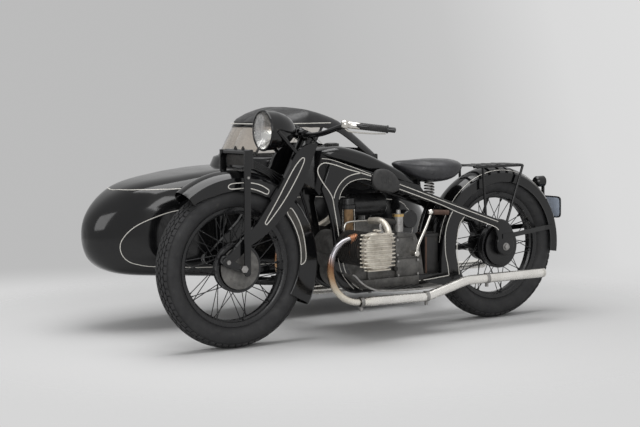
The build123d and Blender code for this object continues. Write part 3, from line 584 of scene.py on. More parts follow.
# %% Wheels
SPOKES = 20
LACING = ((22.0, 94.0, 12.0, 0.0, 26.0), (-34.0, 52.0, -12.0, 9.0, 46.0))   # y, r at hub, y at rim, start, lean


def make_wheel(name, node, centre, body, drum_edge):
    """Rim, hub and drum turned about the axle, spokes and nipples as thin tubes."""
    origin = (centre[0], centre[1], AXLE_Z)
    rim_line = np.array([(-33, 249.5), (-30, 250.5), (-28.5, 247), (-28.5, 239), (-14, 238), (-9, 231), (9, 231),
                         (14, 238), (28.5, 239), (28.5, 247), (30, 250.5), (33, 249.5), (33.4, 241), (28, 231),
                         (15, 230), (9, 222.5), (-9, 222.5), (-15, 230), (-28, 231), (-33.4, 241)], float)
    hub_line = np.array([(-46, 10), (-46, 24), (-44, 27), (-38, 30), (-38, 56), (-36.5, 58), (-31.5, 58),
                         (-30, 56), (-28, 31), (10, 34), (16, 92), (18, 99), (21, 101.5), (24, 100), (28, 100),
                         (30, 102), (33, 100), (drum_edge - 6, 100), (drum_edge - 4, 103), (drum_edge, 103),
                         (drum_edge, 92), (26, 90), (24, 10)], float)
    shapes = [lathe(rim_line, origin, 144), lathe(hub_line, origin, 72)]
    for hub_y, hub_r, rim_y, start, lean in LACING:
        for k in range(SPOKES):
            way = 1 if k % 2 else -1
            a = np.radians(360.0 / SPOKES * k + start)
            b = a + way * np.radians(lean)
            ends = np.array([(hub_r * np.cos(a), hub_y + 2.6 * way, hub_r * np.sin(a)),
                             (232 * np.cos(b), rim_y + 2.6 * way, 232 * np.sin(b))])
            nipple = ends[1] + (ends[0] - ends[1]) * np.array([[0.0], [0.1]])
            shapes += [tube(ends + origin, 2.0, 6, (0.1, 1, 0.2)), tube(nipple + origin, 3.2, 6, (0.1, 1, 0.2))]
    return piece(name, shapes, wheel_enamel, body, (node,))


make_wheel("front_laced_wheel", "front_wheel", (WHEELBASE, 0.0), FRONT_WHEEL, 60.0)
make_wheel("rear_laced_wheel", "rear_wheel", (0.0, 0.0), REAR_WHEEL, 60.0)
make_wheel("sidecar_laced_wheel", "sidecar_wheel", WHEEL_CAR, CAR_WHEEL, 56.0)

# %% [markdown]
# Several construction pieces already have their true shape, so they stay and only take a finish. The
# finish of an exhaust also knows where it is: near the cylinder head the nickel has gone brown and blue
# from heat, and the tint fades out along the pipe with the distance from the port.

# %% Finishes of the construction pieces


def heat_tinted(name, centre, near, far):
    """Nickel whose colour runs from burnt brown through straw to plain with distance from the port."""
    material = finish(name, (0.76, 0.74, 0.70), (0.90, 0.88, 0.84), 14.0, (0.20, 0.34), metallic=1.0, bump=0.03)
    tree = material.node_tree
    shader = next(n for n in tree.nodes if n.type == "BSDF_PRINCIPLED")
    plain = shader.inputs["Base Color"].links[0].from_socket
    where = add(tree, "ShaderNodeTexCoord")
    gap = add(tree, "ShaderNodeVectorMath", operation="DISTANCE")
    gap.inputs[1].default_value = tuple(np.array(centre) / 1000 + HOME)
    tree.links.new(where.outputs["Object"], gap.inputs[0])
    reach = add(tree, "ShaderNodeMapRange")
    reach.inputs["From Min"].default_value, reach.inputs["From Max"].default_value = near, far
    tree.links.new(gap.outputs["Value"], reach.inputs["Value"])
    tint = ramp(tree, reach.outputs[0], (0.0, (0.40, 0.39, 0.40)), (0.30, (0.30, 0.29, 0.31)),
                (0.40, (0.22, 0.11, 0.06)), (0.50, (0.40, 0.25, 0.14)), (0.64, (0.72, 0.66, 0.54)),
                (1.0, (0.84, 0.82, 0.78)))
    mix = add(tree, "ShaderNodeMix", data_type="RGBA")
    mask = ramp(tree, reach.outputs[0], (0.6, 1.0), (0.9, 0.0))
    tree.links.new(mask, mix.inputs["Factor"])
    tree.links.new(plain, mix.inputs["A"])
    tree.links.new(tint, mix.inputs["B"])
    tree.links.new(mix.outputs["Result"], shader.inputs["Base Color"])
    return material


CYL = (870.0, 398.0)
exhaust_left = heat_tinted("exhaust_left_nickel", (940, 220, 440), 0.0, 0.36)
exhaust_right = heat_tinted("exhaust_right_nickel", (940, -220, 440), 0.0, 0.36)
STAYS = {
    "gearbox": dull_alloy, "steering_head": enamel, "final_drive": worn_enamel, "luggage_rack": enamel,
    "mudguard_stays": enamel, "sidecar_chassis": worn_enamel, "windscreen_frame": enamel,
    "windscreen_glass": screen_glass, "fork": enamel,
}
for node, material in STAYS.items():
    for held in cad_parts[node].material_slots:
        held.material = material
print("construction pieces with a new finish:", len(STAYS))

# %% [markdown]
# A mudguard is one section turned about its axle: a crown through three points and two straight
# valances, with a bead rolled along both edges. A fine painted line is a ribbon: a path on the surface
# and the direction that points out of it give its two long edges.

# %% Mudguards


def ribbon(path, normal, width, lift=0.5, closed=False):
    """Flat band along a path: offsets of half the width along tangent x normal, raised off the surface."""
    path = np.asarray(path, float)
    normal = np.broadcast_to(np.asarray(normal, float), path.shape)
    step = np.roll(path, -1, 0) - np.roll(path, 1, 0) if closed else np.gradient(path, axis=0)
    side = unit(np.cross(unit(step), normal)) * width / 2
    rows = [path - side - normal * 0.4, path - side + normal * lift, path + side + normal * lift,
            path + side - normal * 0.4]
    return grid(np.stack(rows, 1), closed, True)


def guard_point(place, r_out, half, a, width, lift=0.0):
    """Point of a guard's crown at angle a, at a distance across from its middle line."""
    crown = arc((-half, r_out - 0.45 * half), (0, r_out), (half, r_out - 0.45 * half), 41)
    centre_r = (r_out ** 2 - half ** 2 - (r_out - 0.45 * half) ** 2) / (2 * 0.45 * half)
    r = np.interp(width, crown[:, 0], crown[:, 1])
    out = unit(np.array([width, r - centre_r]))
    r, width = r + lift * out[1], width + lift * out[0]
    return np.stack([place[0] + r * np.cos(a), place[1] + width + 0 * a, AXLE_Z + r * np.sin(a)], -1)


def make_guard(name, node, place, r_out, half, depths, start, end, body, lines=(), wall=2.4):
    """Crown, valances whose depth follows the angle, rolled beads, and painted lines on the crown."""
    a = np.radians(np.linspace(start, end, 110))[:, None]
    depth = np.interp(np.degrees(a), *zip(*depths))
    crown = arc((-half, r_out - 0.45 * half), (0, r_out), (half, r_out - 0.45 * half), 25)
    faces = []
    for thin in (0.0, wall):
        side = half - thin
        y = np.concatenate([[-side], crown[:, 0] * side / half, [side]])[None, :] + 0 * a
        r = np.concatenate([[0], crown[:, 1] - thin, [0]])[None, :] + 0 * a
        r[:, :1], r[:, -1:] = r_out - depth, r_out - depth
        faces.append(np.stack([place[0] + r * np.cos(a), place[1] + y, AXLE_Z + r * np.sin(a)], -1))
    shapes = [shell(*faces)]
    for edge in (0, -1):
        bead = faces[0][:, edge] + [0, 1.6 if edge == 0 else -1.6, 0]
        shapes.append(tube(bead, 3.0, 8, (0, 1, 0.02)))
    made = piece(name, shapes, enamel, body, (node,))
    bands = []
    for across_at, width, first, last in lines:
        turn = np.radians(np.linspace(first, last, 90))
        path = guard_point(place, r_out, half, turn, across_at)
        up = unit(guard_point(place, r_out, half, turn, across_at, 5.0) - path)
        bands.append(ribbon(path, up, width, 0.4))
    if bands:
        piece(name + "_lines", bands, stripe_paint, body)
    return made


REAR_GUARD, REAR_GUARD_R = (-6.0, 0.0), 371.0
make_guard("rear_guard", "rear_mudguard", REAR_GUARD, REAR_GUARD_R, 68.0,
           ((-8, 30), (6, 70), (188, 70)), -8, 188, MACHINE, ((54, 3.0, 6, 184), (-54, 3.0, 6, 184)))
make_guard("front_guard", "front_mudguard", (WHEELBASE, 0.0), 402.0, 66.0,
           ((53, 60), (70, 78), (120, 84), (165, 104), (208, 128)), 53, 208, FORK)
make_guard("sidecar_guard", "sidecar_mudguard", WHEEL_CAR, 374.0, 70.0,
           ((5, 50), (20, 60), (185, 60)), 5, 185, MACHINE, ((-56, 3.0, 8, 182),))
stay_shapes = []
for mark in (1, -1):
    a = np.radians(90 + 28 * mark)
    foot = np.array([WHEEL_CAR[0] - mark * 12, -1015.0, 350.0])
    tip = np.array([WHEEL_CAR[0] + 325 * np.cos(a), WHEEL_CAR[1] + 69, AXLE_Z + 325 * np.sin(a)])
    stay_shapes.append(tube([foot, tip], 8.0, 12))
piece("sidecar_guard_stays", stay_shapes, enamel, MACHINE)

# %% [markdown]
# The frame's side members are pressed plates. Their outline and window are the construction's own arcs
# and lines, with a rounded edge. Painted lines follow each member: a line that is only dark against
# pale reads its shape from far away, so their places matter more than their width.

# %% Pressed frame
FRAME_IN, FRAME_OUT = 84.0, 106.0
side_loop = outline((950, 775), [(744, 716), (42, 470), ((-30, 440), (-46, 372)), ((-30, 306), (12, 300)),
                                 ((46, 330), (44, 380)), (64, 440), (238, 500), ((289, 380), (268, 246)),
                                 (262, 192), (800, 192), ((905, 225), (935, 372)), ((955, 520), (989, 622)),
                                 (1000, 650)])
window_loop = outline((330, 532), [(752, 677), ((860, 670), (919, 579)), ((890, 440), (878, 372)),
                                   ((858, 282), (800, 247)), (372, 247), ((363, 380), (318, 520))])
side_shape = plate([side_loop, window_loop], FRAME_IN, FRAME_OUT, 7.0, "xz", 4)
axle_nut = lathe([(FRAME_OUT, 0), (FRAME_OUT, 18), (FRAME_OUT + 2, 18), (FRAME_OUT + 3, 13), (FRAME_OUT + 12, 13),
                  (FRAME_OUT + 13, 11), (FRAME_OUT + 14, 0)], (0, 0, AXLE_Z), 24, closed=False)
for label, turned in (("left", lambda s: s), ("right", mirror_y)):
    piece("frame_plate_" + label, [turned(side_shape)], enamel, MACHINE, ("frame_" + label,))
    piece("axle_nut_" + label, [turned(axle_nut)], steel, MACHINE)


def smooth(points, count=60, closed=False):
    """Curve through points: each piece is a cubic whose slopes are half the gap of its neighbours."""
    p = np.asarray(points, float)
    if closed:
        p = np.concatenate([p[-1:], p, p[:2]])
    else:
        p = np.concatenate([2 * p[:1] - p[1:2], p, 2 * p[-1:] - p[-2:-1]])
    t = np.linspace(0, 1, 12, endpoint=False)[:, None]
    runs = []
    for a, b, c, d in zip(p, p[1:], p[2:], p[3:]):
        runs.append(0.5 * (2 * b + (c - a) * t + (2 * a - 5 * b + 4 * c - d) * t ** 2
                           + (3 * b - a - 3 * c + d) * t ** 3))
    line = np.concatenate(runs if closed else [*runs, p[-2:-1]])
    return resample(np.concatenate([line, line[:1]]) if closed else line, count)


FRAME_LINES = (  # width, closed, points (x, z) on the side member
    (4.0, False, ((749, 697), (808, 715), (880, 734), (931, 751), (982, 762), (1010, 753), (1021, 732), (1014, 707),
                  (992, 674), (965, 640), (949, 612), (941, 573), (934, 535), (925, 485), (918, 441), (908, 391),
                  (900, 336), (887, 291), (865, 253), (832, 222), (800, 206))),
    (4.0, False, ((942, 610), (936, 630), (919, 659), (896, 683), (870, 699), (841, 708), (801, 713))),
    (2.2, False, ((914, 605), (907, 629), (888, 655), (861, 674), (828, 684), (789, 687), (752, 680))),
    (2.2, False, ((1000, 781), (960, 776), (918, 764), (841, 738), (752, 706))),
    (2.6, False, ((928, 405), (922, 343), (903, 281), (872, 240), (845, 213))),
    (3.5, False, ((309, 520), (330, 486), (347, 440), (352, 390), (349, 330), (338, 280), (331, 232))),
    (3.5, False, ((243, 492), (268, 461), (281, 414), (285, 349), (280, 297), (272, 232))),
    (3.5, False, ((744, 704), (600, 655), (450, 602), (334, 560), (196, 511), (46, 459))),
    (3.5, False, ((700, 668), (560, 620), (379, 556), (282, 516), (150, 468), (68, 438), (42, 420))),
    (3.5, False, ((331, 232), (480, 222), (660, 222), (790, 222))),
)
for mark, label in ((1, "left"), (-1, "right")):
    bands = []
    for width, closed, points in FRAME_LINES:
        path = on_side(smooth(points, 30 * len(points), closed), mark * FRAME_OUT)
        bands.append(ribbon(path, (0, mark, 0), width, 0.45, closed))
    piece("frame_lines_" + label, bands, stripe_paint, MACHINE)

# %% [markdown]
# The tank hangs between the side members. Its body is a row of sections from nose to tail. Each section
# is a rounded box, width |y|^p + |z|^p = 1, whose power falls towards the ends, so that the top is
# crowned and both ends draw in.

# %% Tank and knee pads


def rounded_section(x, half, low, high, power, count=40):
    """Closed section in the plane at x: y = half * sgn(cos)|cos|^(2/p), z the same with sin."""
    t = np.linspace(0, 2 * np.pi, count, endpoint=False)
    c, s = np.cos(t), np.sin(t)
    y = half * np.sign(c) * np.abs(c) ** (2.0 / power)
    z = (low + high) / 2 + (high - low) / 2 * np.sign(s) * np.abs(s) ** (2.0 / power)
    return np.stack([np.full(count, float(x)), y, z], -1)


def body_of_sections(rows, count=40, dense=40):
    """Closed surface through a table (x, half, low, high, power); each column runs on one smooth curve."""
    table = np.array(rows, float)
    rings = []
    for u in np.linspace(0, len(table) - 1, dense):
        i = min(int(u), len(table) - 2)
        f, b, c = u - i, table[i], table[i + 1]
        before = table[i - 1] if i else 2 * b - c
        after = table[i + 2] if i + 2 < len(table) else 2 * c - b
        row = 0.5 * (2 * b + (c - before) * f + (2 * before - 5 * b + 4 * c - after) * f ** 2
                     + (3 * b - before - 3 * c + after) * f ** 3)
        rings.append(rounded_section(*row[:4], max(row[4], 2.0), count))
    rings = [np.broadcast_to(rings[0].mean(0), rings[0].shape), *rings,
             np.broadcast_to(rings[-1].mean(0), rings[0].shape)]
    return grid(np.stack(rings), False, True)


TANK_ROWS = (  # x, half width, z of the lower edge, z of the top, power
    (985, 40, 788, 806, 2.2), (972, 66, 778, 816, 2.6), (935, 88, 766, 827, 3.2), (877, 98, 750, 830, 3.4),
    (769, 100, 716, 803, 3.4), (674, 98, 686, 764, 3.3), (569, 86, 652, 718, 3.0), (500, 66, 630, 684, 2.6),
    (466, 44, 622, 660, 2.2))
belly = plate([outline((934, 768), [(938, 702), (880, 690), (750, 684), (500, 600), (445, 612), (474, 648)])],
              -83, 83, 8.0)
cap_profile = [(812, 34), (826, 34), (829, 33), (830, 30), (838, 29), (841, 26), (842, 20), (842, 0)]
grip_notches = [tube([(884 + 30 * np.cos(t), 30 * np.sin(t), 829), (884 + 30 * np.cos(t), 30 * np.sin(t), 839)],
                     2.2, 6, (1, 0, 0)) for t in np.linspace(0, 2 * np.pi, 24, endpoint=False)]
cap = lathe(cap_profile, (884, 0, 0), 36, "z", False)
piece("tank_body", [body_of_sections(TANK_ROWS, 48, 90), belly], enamel, MACHINE, ("fuel_tank",))
piece("tank_cap", [cap, *grip_notches], moulded_case, MACHINE)

PAD_POINTS = ((746, 683), (741, 707), (725, 722), (695, 727), (658, 718), (627, 696), (607, 669), (603, 646),
              (611, 629), (642, 621), (692, 628), (729, 640), (744, 661))
pad_loop = smooth(PAD_POINTS, 64, True)
pad_middle = pad_loop.mean(0)
pad_rings = []
for scale, y in ((1.0, FRAME_OUT), (1.0, FRAME_OUT + 5), (0.97, FRAME_OUT + 9), (0.9, FRAME_OUT + 12.5),
                 (0.78, FRAME_OUT + 14.5), (0.5, FRAME_OUT + 15.5), (0.0, FRAME_OUT + 15.8)):
    pad_rings.append(on_side(pad_middle + (pad_loop - pad_middle) * scale, y))
pad_shapes = [grid(np.stack(pad_rings), False, True)]
for k in range(5):
    foot = pad_middle + [-24 + 12 * k, -16 + 4 * k - 2 * abs(k - 2)]
    run = on_side([foot + [4 * t, (38 - 5 * abs(k - 2)) * t] for t in np.linspace(0, 1, 10)], FRAME_OUT + 15.0)
    pad_shapes.append(tube(run, 2.2, 6))
for mark, label in ((1, "left"), (-1, "right")):
    turned = [s if mark == 1 else mirror_y(s) for s in pad_shapes]
    piece("knee_pad_" + label, turned, pad_rubber, MACHINE, ("knee_pads",))

# %% [markdown]
# The passenger body is one skin. Each of its sections is the same rounded box as before, and a table
# gives its half width, floor, deck and power, so the body is boxy amidships and round at the nose. A
# point on the skin at a height z lies half * (1 - |2 (z - middle) / height|^p)^(1/p) off the middle
# plane, which is also where the painted lines go. The hollow is cut out by a smaller copy of the body
# and by the plan of the cockpit.

# %% Sidecar body
HULL_ROWS = (  # x, half width, z of the floor, z of the deck, power
    (-88, 14, 384, 412, 2.0), (-74, 74, 320, 450, 2.5), (-30, 142, 244, 494, 3.2), (40, 199, 220, 545, 4.0),
    (150, 247, 216, 614, 5.5), (330, 269, 215, 722, 7.5), (700, 270, 215, 724, 7.8), (1060, 269, 217, 723, 7.5),
    (1250, 267, 231, 708, 6.4), (1340, 262, 237, 697, 5.4), (1420, 252, 241, 686, 4.6), (1500, 231, 245, 672, 3.9),
    (1570, 201, 251, 652, 3.3), (1630, 167, 264, 621, 2.9), (1680, 129, 288, 582, 2.6), (1718, 89, 322, 538, 2.4),
    (1740, 49, 366, 496, 2.2), (1748, 14, 412, 452, 2.0))


def carve(thing, *shapes):
    """Cut closed shapes out of a piece and keep the result as its mesh."""
    for shape in shapes:
        tool = bpy.data.objects.new("tool", bpy.data.meshes.new("tool"))
        tool.data.from_pydata((np.asarray(shape[0]) / 1000 + HOME).tolist(), [], shape[1])
        fixer = bmesh.new()
        fixer.from_mesh(tool.data)
        bmesh.ops.remove_doubles(fixer, verts=fixer.verts, dist=2e-5)
        bmesh.ops.recalc_face_normals(fixer, faces=fixer.faces)
        fixer.to_mesh(tool.data)
        fixer.free()
        bpy.context.scene.collection.objects.link(tool)
        cut = thing.modifiers.new("cut", "BOOLEAN")
        cut.operation, cut.solver, cut.object = "DIFFERENCE", "EXACT", tool
        bpy.context.view_layer.update()
        deps = bpy.context.evaluated_depsgraph_get()
        mesh = bpy.data.meshes.new_from_object(thing.evaluated_get(deps))
        thing.modifiers.clear()
        thing.data = mesh
        bpy.data.objects.remove(tool)
    mesh.shade_smooth()
    mesh.set_sharp_from_angle(angle=np.radians(30))


def hull_rows(thin):
    """The table drawn in by a wall thickness on every side, and shortened at both ends."""
    rows = np.array(HULL_ROWS, float)
    rows[:, 0] -= thin * np.interp(rows[:, 0], [-88, 330, 1060, 1748], [-1, 0, 0, 1])
    rows[:, 1] -= thin
    rows[:, 2] += thin
    rows[:, 3] -= thin
    return rows


def hull_y(x, z, side=1.0):
    """Point (x, y, z) on the skin: half the width times (1 - rise to a power) to one over that power,
    where rise runs from 0 at mid height to 1 at the top or bottom edge."""
    rows = np.array(HULL_ROWS, float)
    half, low, high, power = (np.interp(x, rows[:, 0], rows[:, k]) for k in (1, 2, 3, 4))
    rise = np.clip(np.abs(2 * (z - (low + high) / 2) / (high - low)), 0, 0.999)
    y = half * (1 - rise ** power) ** (1 / power)
    return np.stack([x, CAR_Y + side * y, z], -1)


COWL_FRONT, COWL_FOOT, HOOD_HALF, CAR_WALL = 1042.0, 1071.0, 255.0, 9.0


def cockpit(inward, front, z, count=24):
    """Plan of the cockpit collar at a height: straight sides and a front of two arcs."""
    half, side_x = HOOD_HALF - inward, front - 202 - inward
    left = arc((side_x, half), (side_x + 142, 0.745 * half), (front - inward, 0), count)
    line = np.concatenate([[(330 + inward, -half)], [(330 + inward, half)], left,
                           (left * [1, -1])[::-1][1:]])
    return np.column_stack([line[:, 0], line[:, 1] + CAR_Y, np.full(len(line), float(z))])


body = piece("sidecar_shell", [shift(body_of_sections(HULL_ROWS, 72, 110), 0, CAR_Y)], enamel, MACHINE,
             ("sidecar_body",), sharp=40)
hole = [cockpit(CAR_WALL, 1003, z) for z in (640, 780)]
lid = [list(range(len(hole[0]))), list(range(len(hole[0]), 2 * len(hole[0])))]
well = grid(np.stack(hole), False, True)
well[1].extend(lid)
carve(body, shift(body_of_sections(hull_rows(CAR_WALL), 72, 110), 0, CAR_Y), well)
body.data.materials.clear()
body.data.materials.append(enamel)

collar = []
for inward, front, z in ((0, COWL_FOOT + 10, 660), (0, COWL_FOOT, 708), (0, COWL_FOOT - 8, 722),
                         (0, COWL_FRONT + 8, 748), (0, COWL_FRONT + 2, 761), (2, COWL_FRONT, 765),
                         (6, COWL_FRONT, 766), (CAR_WALL + 1, COWL_FRONT, 764), (CAR_WALL + 1, COWL_FRONT, 690)):
    collar.append(cockpit(inward, front, z))
piece("cockpit_collar", [grid(np.stack(collar), False, True)], enamel, MACHINE)



def on_skin(thing, path):
    """Nearest points of a finished mesh to a path, and the way out of it there, evened along the path."""
    skin = BVHTree.FromObject(thing, bpy.context.evaluated_depsgraph_get())
    hits = [skin.find_nearest(Vector((point / 1000 + HOME).tolist())) for point in path]
    places = (np.array([hit[0][:] for hit in hits]) - HOME) * 1000
    out = np.array([hit[1][:] for hit in hits])
    even = np.stack([np.convolve(np.pad(out[:, k], 3, "edge"), np.ones(7) / 7, "valid") for k in range(3)], -1)
    return places, unit(even)


body_bands = []
PANEL_LINE = ((1100, 575), (1250, 565), (1396, 548), (1461, 534), (1522, 512), (1579, 483), (1620, 444), (1640, 402),
              (1633, 357), (1603, 324), (1556, 307), (1494, 298), (1376, 290), (1287, 284), (1100, 278), (700, 276),
              (360, 278), (180, 300), (120, 360), (110, 430), (150, 490), (260, 540), (700, 575))
for mark in (1, -1):
    loop = smooth(PANEL_LINE, 260, True)
    path, way_out = on_skin(body, hull_y(loop[:, 0], loop[:, 1], mark))
    body_bands.append(ribbon(path, way_out, 3.6, 0.8, True))
upper = [(60, 530), (180, 600), (330, 660), (700, 662), (1060, 655), (1378, 642), (1476, 640), (1528, 639), (1576, 638),
         (1604, 635)]
run = smooth(upper, 120)
near = hull_y(run[:, 0], run[:, 1], 1.0)
far = hull_y(run[:, 0], run[:, 1], -1.0)[::-1]
rows = np.array(HULL_ROWS, float)
bow = []
for share in np.linspace(0.9, -0.9, 21):
    xs = np.linspace(1560, 1640, 161)
    half, low, high, power = (np.interp(xs, rows[:, 0], rows[:, k]) for k in (1, 2, 3, 4))
    y = share * near[-1, 1] - share * CAR_Y
    top = (low + high) / 2 + (high - low) / 2 * np.clip(1 - np.abs(y / half) ** power, 0, 1) ** (1 / power)
    k = np.argmin(np.abs(top - 634))
    bow.append((xs[k], CAR_Y + y, 634.0))
whole_run = np.concatenate([near, np.array(bow), far])
whole_run, way_out = on_skin(body, resample(whole_run, 260))
body_bands.append(ribbon(whole_run, way_out, 3.6, 0.8))
piece("sidecar_lines", body_bands, stripe_paint, MACHINE)

# %% [markdown]
# The hood is coated cloth over bows. Its line in the side view runs from the screen's top edge over the
# crown and down to the body behind the seat. Each section across is that point, pulled down into a
# rounded corner and a short skirt at both sides: the skirt follows the line's own normal, so that it is
# a hem along the roof and a narrow band down the rear corner. Between two bows the cloth sags a little.

# %% Hood
leather_black = finish("black_leather", (0.010, 0.0095, 0.009), (0.020, 0.019, 0.018), 22.0, (0.30, 0.48),
                       bump=0.5, grain=800.0, spots=((14.0, 0.55, 0.78, (0.045, 0.043, 0.041)),))
hood_cloth = finish("hood_cloth", (0.010, 0.010, 0.011), (0.020, 0.020, 0.021), 26.0, (0.30, 0.48), bump=0.35,
                    grain=520.0, spots=((12.0, 0.56, 0.78, (0.034, 0.033, 0.032)),))
ROOF = ((934, 914), (930, 934), (914, 962), (886, 982), (850, 996), (810, 1001), (770, 1001), (710, 994), (630, 974),
        (545, 944), (494, 912), (440, 870), (388, 828), (343, 790), (312, 762))
roof_line = smooth(ROOF, 90)
along = np.linspace(0, 1, 90)
way = unit(np.gradient(roof_line, axis=0))
down = np.stack([way[:, 1], -way[:, 0]], -1)
down = np.where(down[:, 1:] > 0, -down, down)
skirt = np.interp(roof_line[:, 0], [312, 360, 440, 505, 565, 615, 690, 780, 850, 900, 925, 934],
                  [34, 40, 46, 52, 60, 62, 80, 86, 80, 60, 16, 2])
front_plan = arc((759, 258), (882, 192), (936, 0), 60)
half_width = np.maximum(np.interp(roof_line[:, 0], front_plan[:, 0], front_plan[:, 1]), 6.0)
bows = 1.8 * np.abs(np.sin(np.pi * 4.0 * along)) ** 0.8
crown_share = np.linspace(-1, 1, 41)


def hood_skin(thin):
    """Points of the hood's outer face, or of its lining when drawn in by a thickness."""
    rows = []
    for (x, z), n, drop, half, sag in zip(roof_line, down, skirt, half_width, bows):
        half, drop = half - thin, max(drop - 0.3 * thin, 1.0)
        radius = min(46.0, drop)
        flat = half - radius
        middle = np.array([(flat * s, 10.0 * s * s + sag * (1 - s ** 4)) for s in crown_share])
        corner = np.linspace(0, np.pi / 2, 8)[1:]
        bent = np.stack([flat + radius * np.sin(corner), 10 + radius * (1 - np.cos(corner))], -1)
        edge = np.array([[half, 10 + radius + (drop - radius) * t] for t in (0.5, 1.0)])
        right = np.concatenate([bent, edge])
        flat_line = np.concatenate([(right * [-1, 1])[::-1], middle, right])
        depth = flat_line[:, 1] + thin
        rows.append(np.stack([x + n[0] * depth, CAR_Y + flat_line[:, 0], z + n[1] * depth], -1))
    rows = np.stack(rows)
    lip = np.interp(np.abs(rows[..., 1] - CAR_Y), front_plan[::-1, 1], front_plan[::-1, 0])
    rise = np.interp(lip - rows[..., 0], [0, 12, 30, 80, 140, 200, 280], [916, 928, 942, 966, 985, 998, 1010])
    rows[..., 2] = np.minimum(rows[..., 2], rise - thin)
    return rows


outer, lining = hood_skin(0.0), hood_skin(4.0)
hem_shapes = [shell(outer, lining)]
hood = piece("folding_hood", hem_shapes, hood_cloth, MACHINE, ("hood",), sharp=50)
rear_gap = np.array([(258, 792), (358, 792), (518, 892), (518, 990), (258, 990)], float)[::-1]
carve(hood, plate([rear_gap], CAR_Y - 208, CAR_Y + 208, 6.0, "xz"))
hood.data.materials.clear()
hood.data.materials.append(hood_cloth)
piping = [tube(outer[3:, k], 2.8, 8) for k in (0, -1)] + [tube(outer[2], 3.0, 8, (0, 0.02, 1))]
piece("hood_piping", piping, leather_black, MACHINE)
lip_y = np.linspace(-258, 258, 90)
lip_x = np.interp(np.abs(lip_y), front_plan[::-1, 1], front_plan[::-1, 0])
lip_path = np.column_stack([lip_x + 3.0, CAR_Y + lip_y, np.full(90, 919.0)])
rear_ends = np.array([[600, CAR_Y + mark * 260.5, 919.0] for mark in (-1, 1)])
lip_path = resample(np.concatenate([rear_ends[:1], lip_path, rear_ends[1:]]), 160)
seams = [tube(lip_path, 2.4, 8), *[tube(outer[52:, k] + [0, 0, 1.0], 1.5, 6) for k in (9, 12, -13, -10)]]
piece("hood_pale_seams", seams, stripe_paint, MACHINE)

# %% [markdown]
# Padded pieces begin as a plain rounded block and get their shape from a cloth simulation: the skin
# is stiff along its threads, the air inside presses it out, and no point moves further than a set distance.

# %% Padded pieces


def pad_block(rows, count=44, dense=36):
    """Rounded body through sections, for the skin of a cushion."""
    return body_of_sections(rows, count, dense)


def inflate(thing, pressure=4.0, most=0.012):
    """Let pressure swell the skin for twenty frames, keep each point within a distance of its start."""
    remesh = thing.modifiers.new("even", "REMESH")
    remesh.mode, remesh.voxel_size, remesh.use_smooth_shade = "VOXEL", 0.008, True
    deps = bpy.context.evaluated_depsgraph_get()
    thing.data = bpy.data.meshes.new_from_object(thing.evaluated_get(deps))
    thing.modifiers.clear()
    start = np.array([v.co[:] for v in thing.data.vertices])
    cloth = thing.modifiers.new("cloth", "CLOTH")
    cloth.settings.use_pressure = True
    cloth.settings.uniform_pressure_force = pressure
    cloth.settings.effector_weights.gravity = 0.0
    cloth.settings.quality = 5
    cloth.point_cache.frame_start, cloth.point_cache.frame_end = 1, 20
    for frame_number in range(1, 21):
        bpy.context.scene.frame_set(frame_number)
    deps = bpy.context.evaluated_depsgraph_get()
    made = bpy.data.meshes.new_from_object(thing.evaluated_get(deps))
    end = np.array([v.co[:] for v in made.vertices])
    move = end - start
    size = np.linalg.norm(move, axis=1, keepdims=True)
    end = start + move * np.minimum(1, most / np.maximum(size, 1e-9))
    for vertex, place_now in zip(made.vertices, end):
        vertex.co = place_now
    thing.modifiers.clear()
    thing.data = made
    made.shade_smooth()
    bpy.context.scene.frame_set(1)


cushion_rows = ((416, 205, 334, 408, 3.0), (440, 221, 326, 420, 5.0), (520, 224, 324, 430, 6.0),
                (680, 224, 324, 434, 6.0), (780, 220, 326, 424, 5.0), (802, 206, 336, 406, 3.0))
cushion = piece("sidecar_seat_pad", [shift(pad_block(cushion_rows), 0, CAR_Y, 0)], leather_black, MACHINE,
                ("sidecar_cushion",), sharp=60)
inflate(cushion, 4.0, 0.006)

# %% [markdown]
# The saddle is a pad like the cushion: broad behind, narrow in front. Its springs are helices,
# centre + r (cos a, sin a) with the height rising evenly with the angle.

# %% Saddle, its springs and the backrest


def ring_of(centre, half, power=2.6, count=48):
    """Plane outline: centre + half * sgn(cos)|cos|^(2/p), the same with sin."""
    t = np.linspace(0, 2 * np.pi, count, endpoint=False)
    c, s = np.cos(t), np.sin(t)
    return np.column_stack([centre[0] + half[0] * np.sign(c) * np.abs(c) ** (2 / power),
                            centre[1] + half[1] * np.sign(s) * np.abs(s) ** (2 / power)])


def helix(centre, radius, low, high, turns, count=120):
    """Centre line of a coil spring whose radius swells in the middle."""
    t = np.linspace(0, 1, count)
    r = radius * (0.86 + 0.14 * np.sin(np.pi * t))
    return np.column_stack([centre[0] + r * np.cos(2 * np.pi * turns * t),
                            centre[1] + r * np.sin(2 * np.pi * turns * t), low + (high - low) * t])


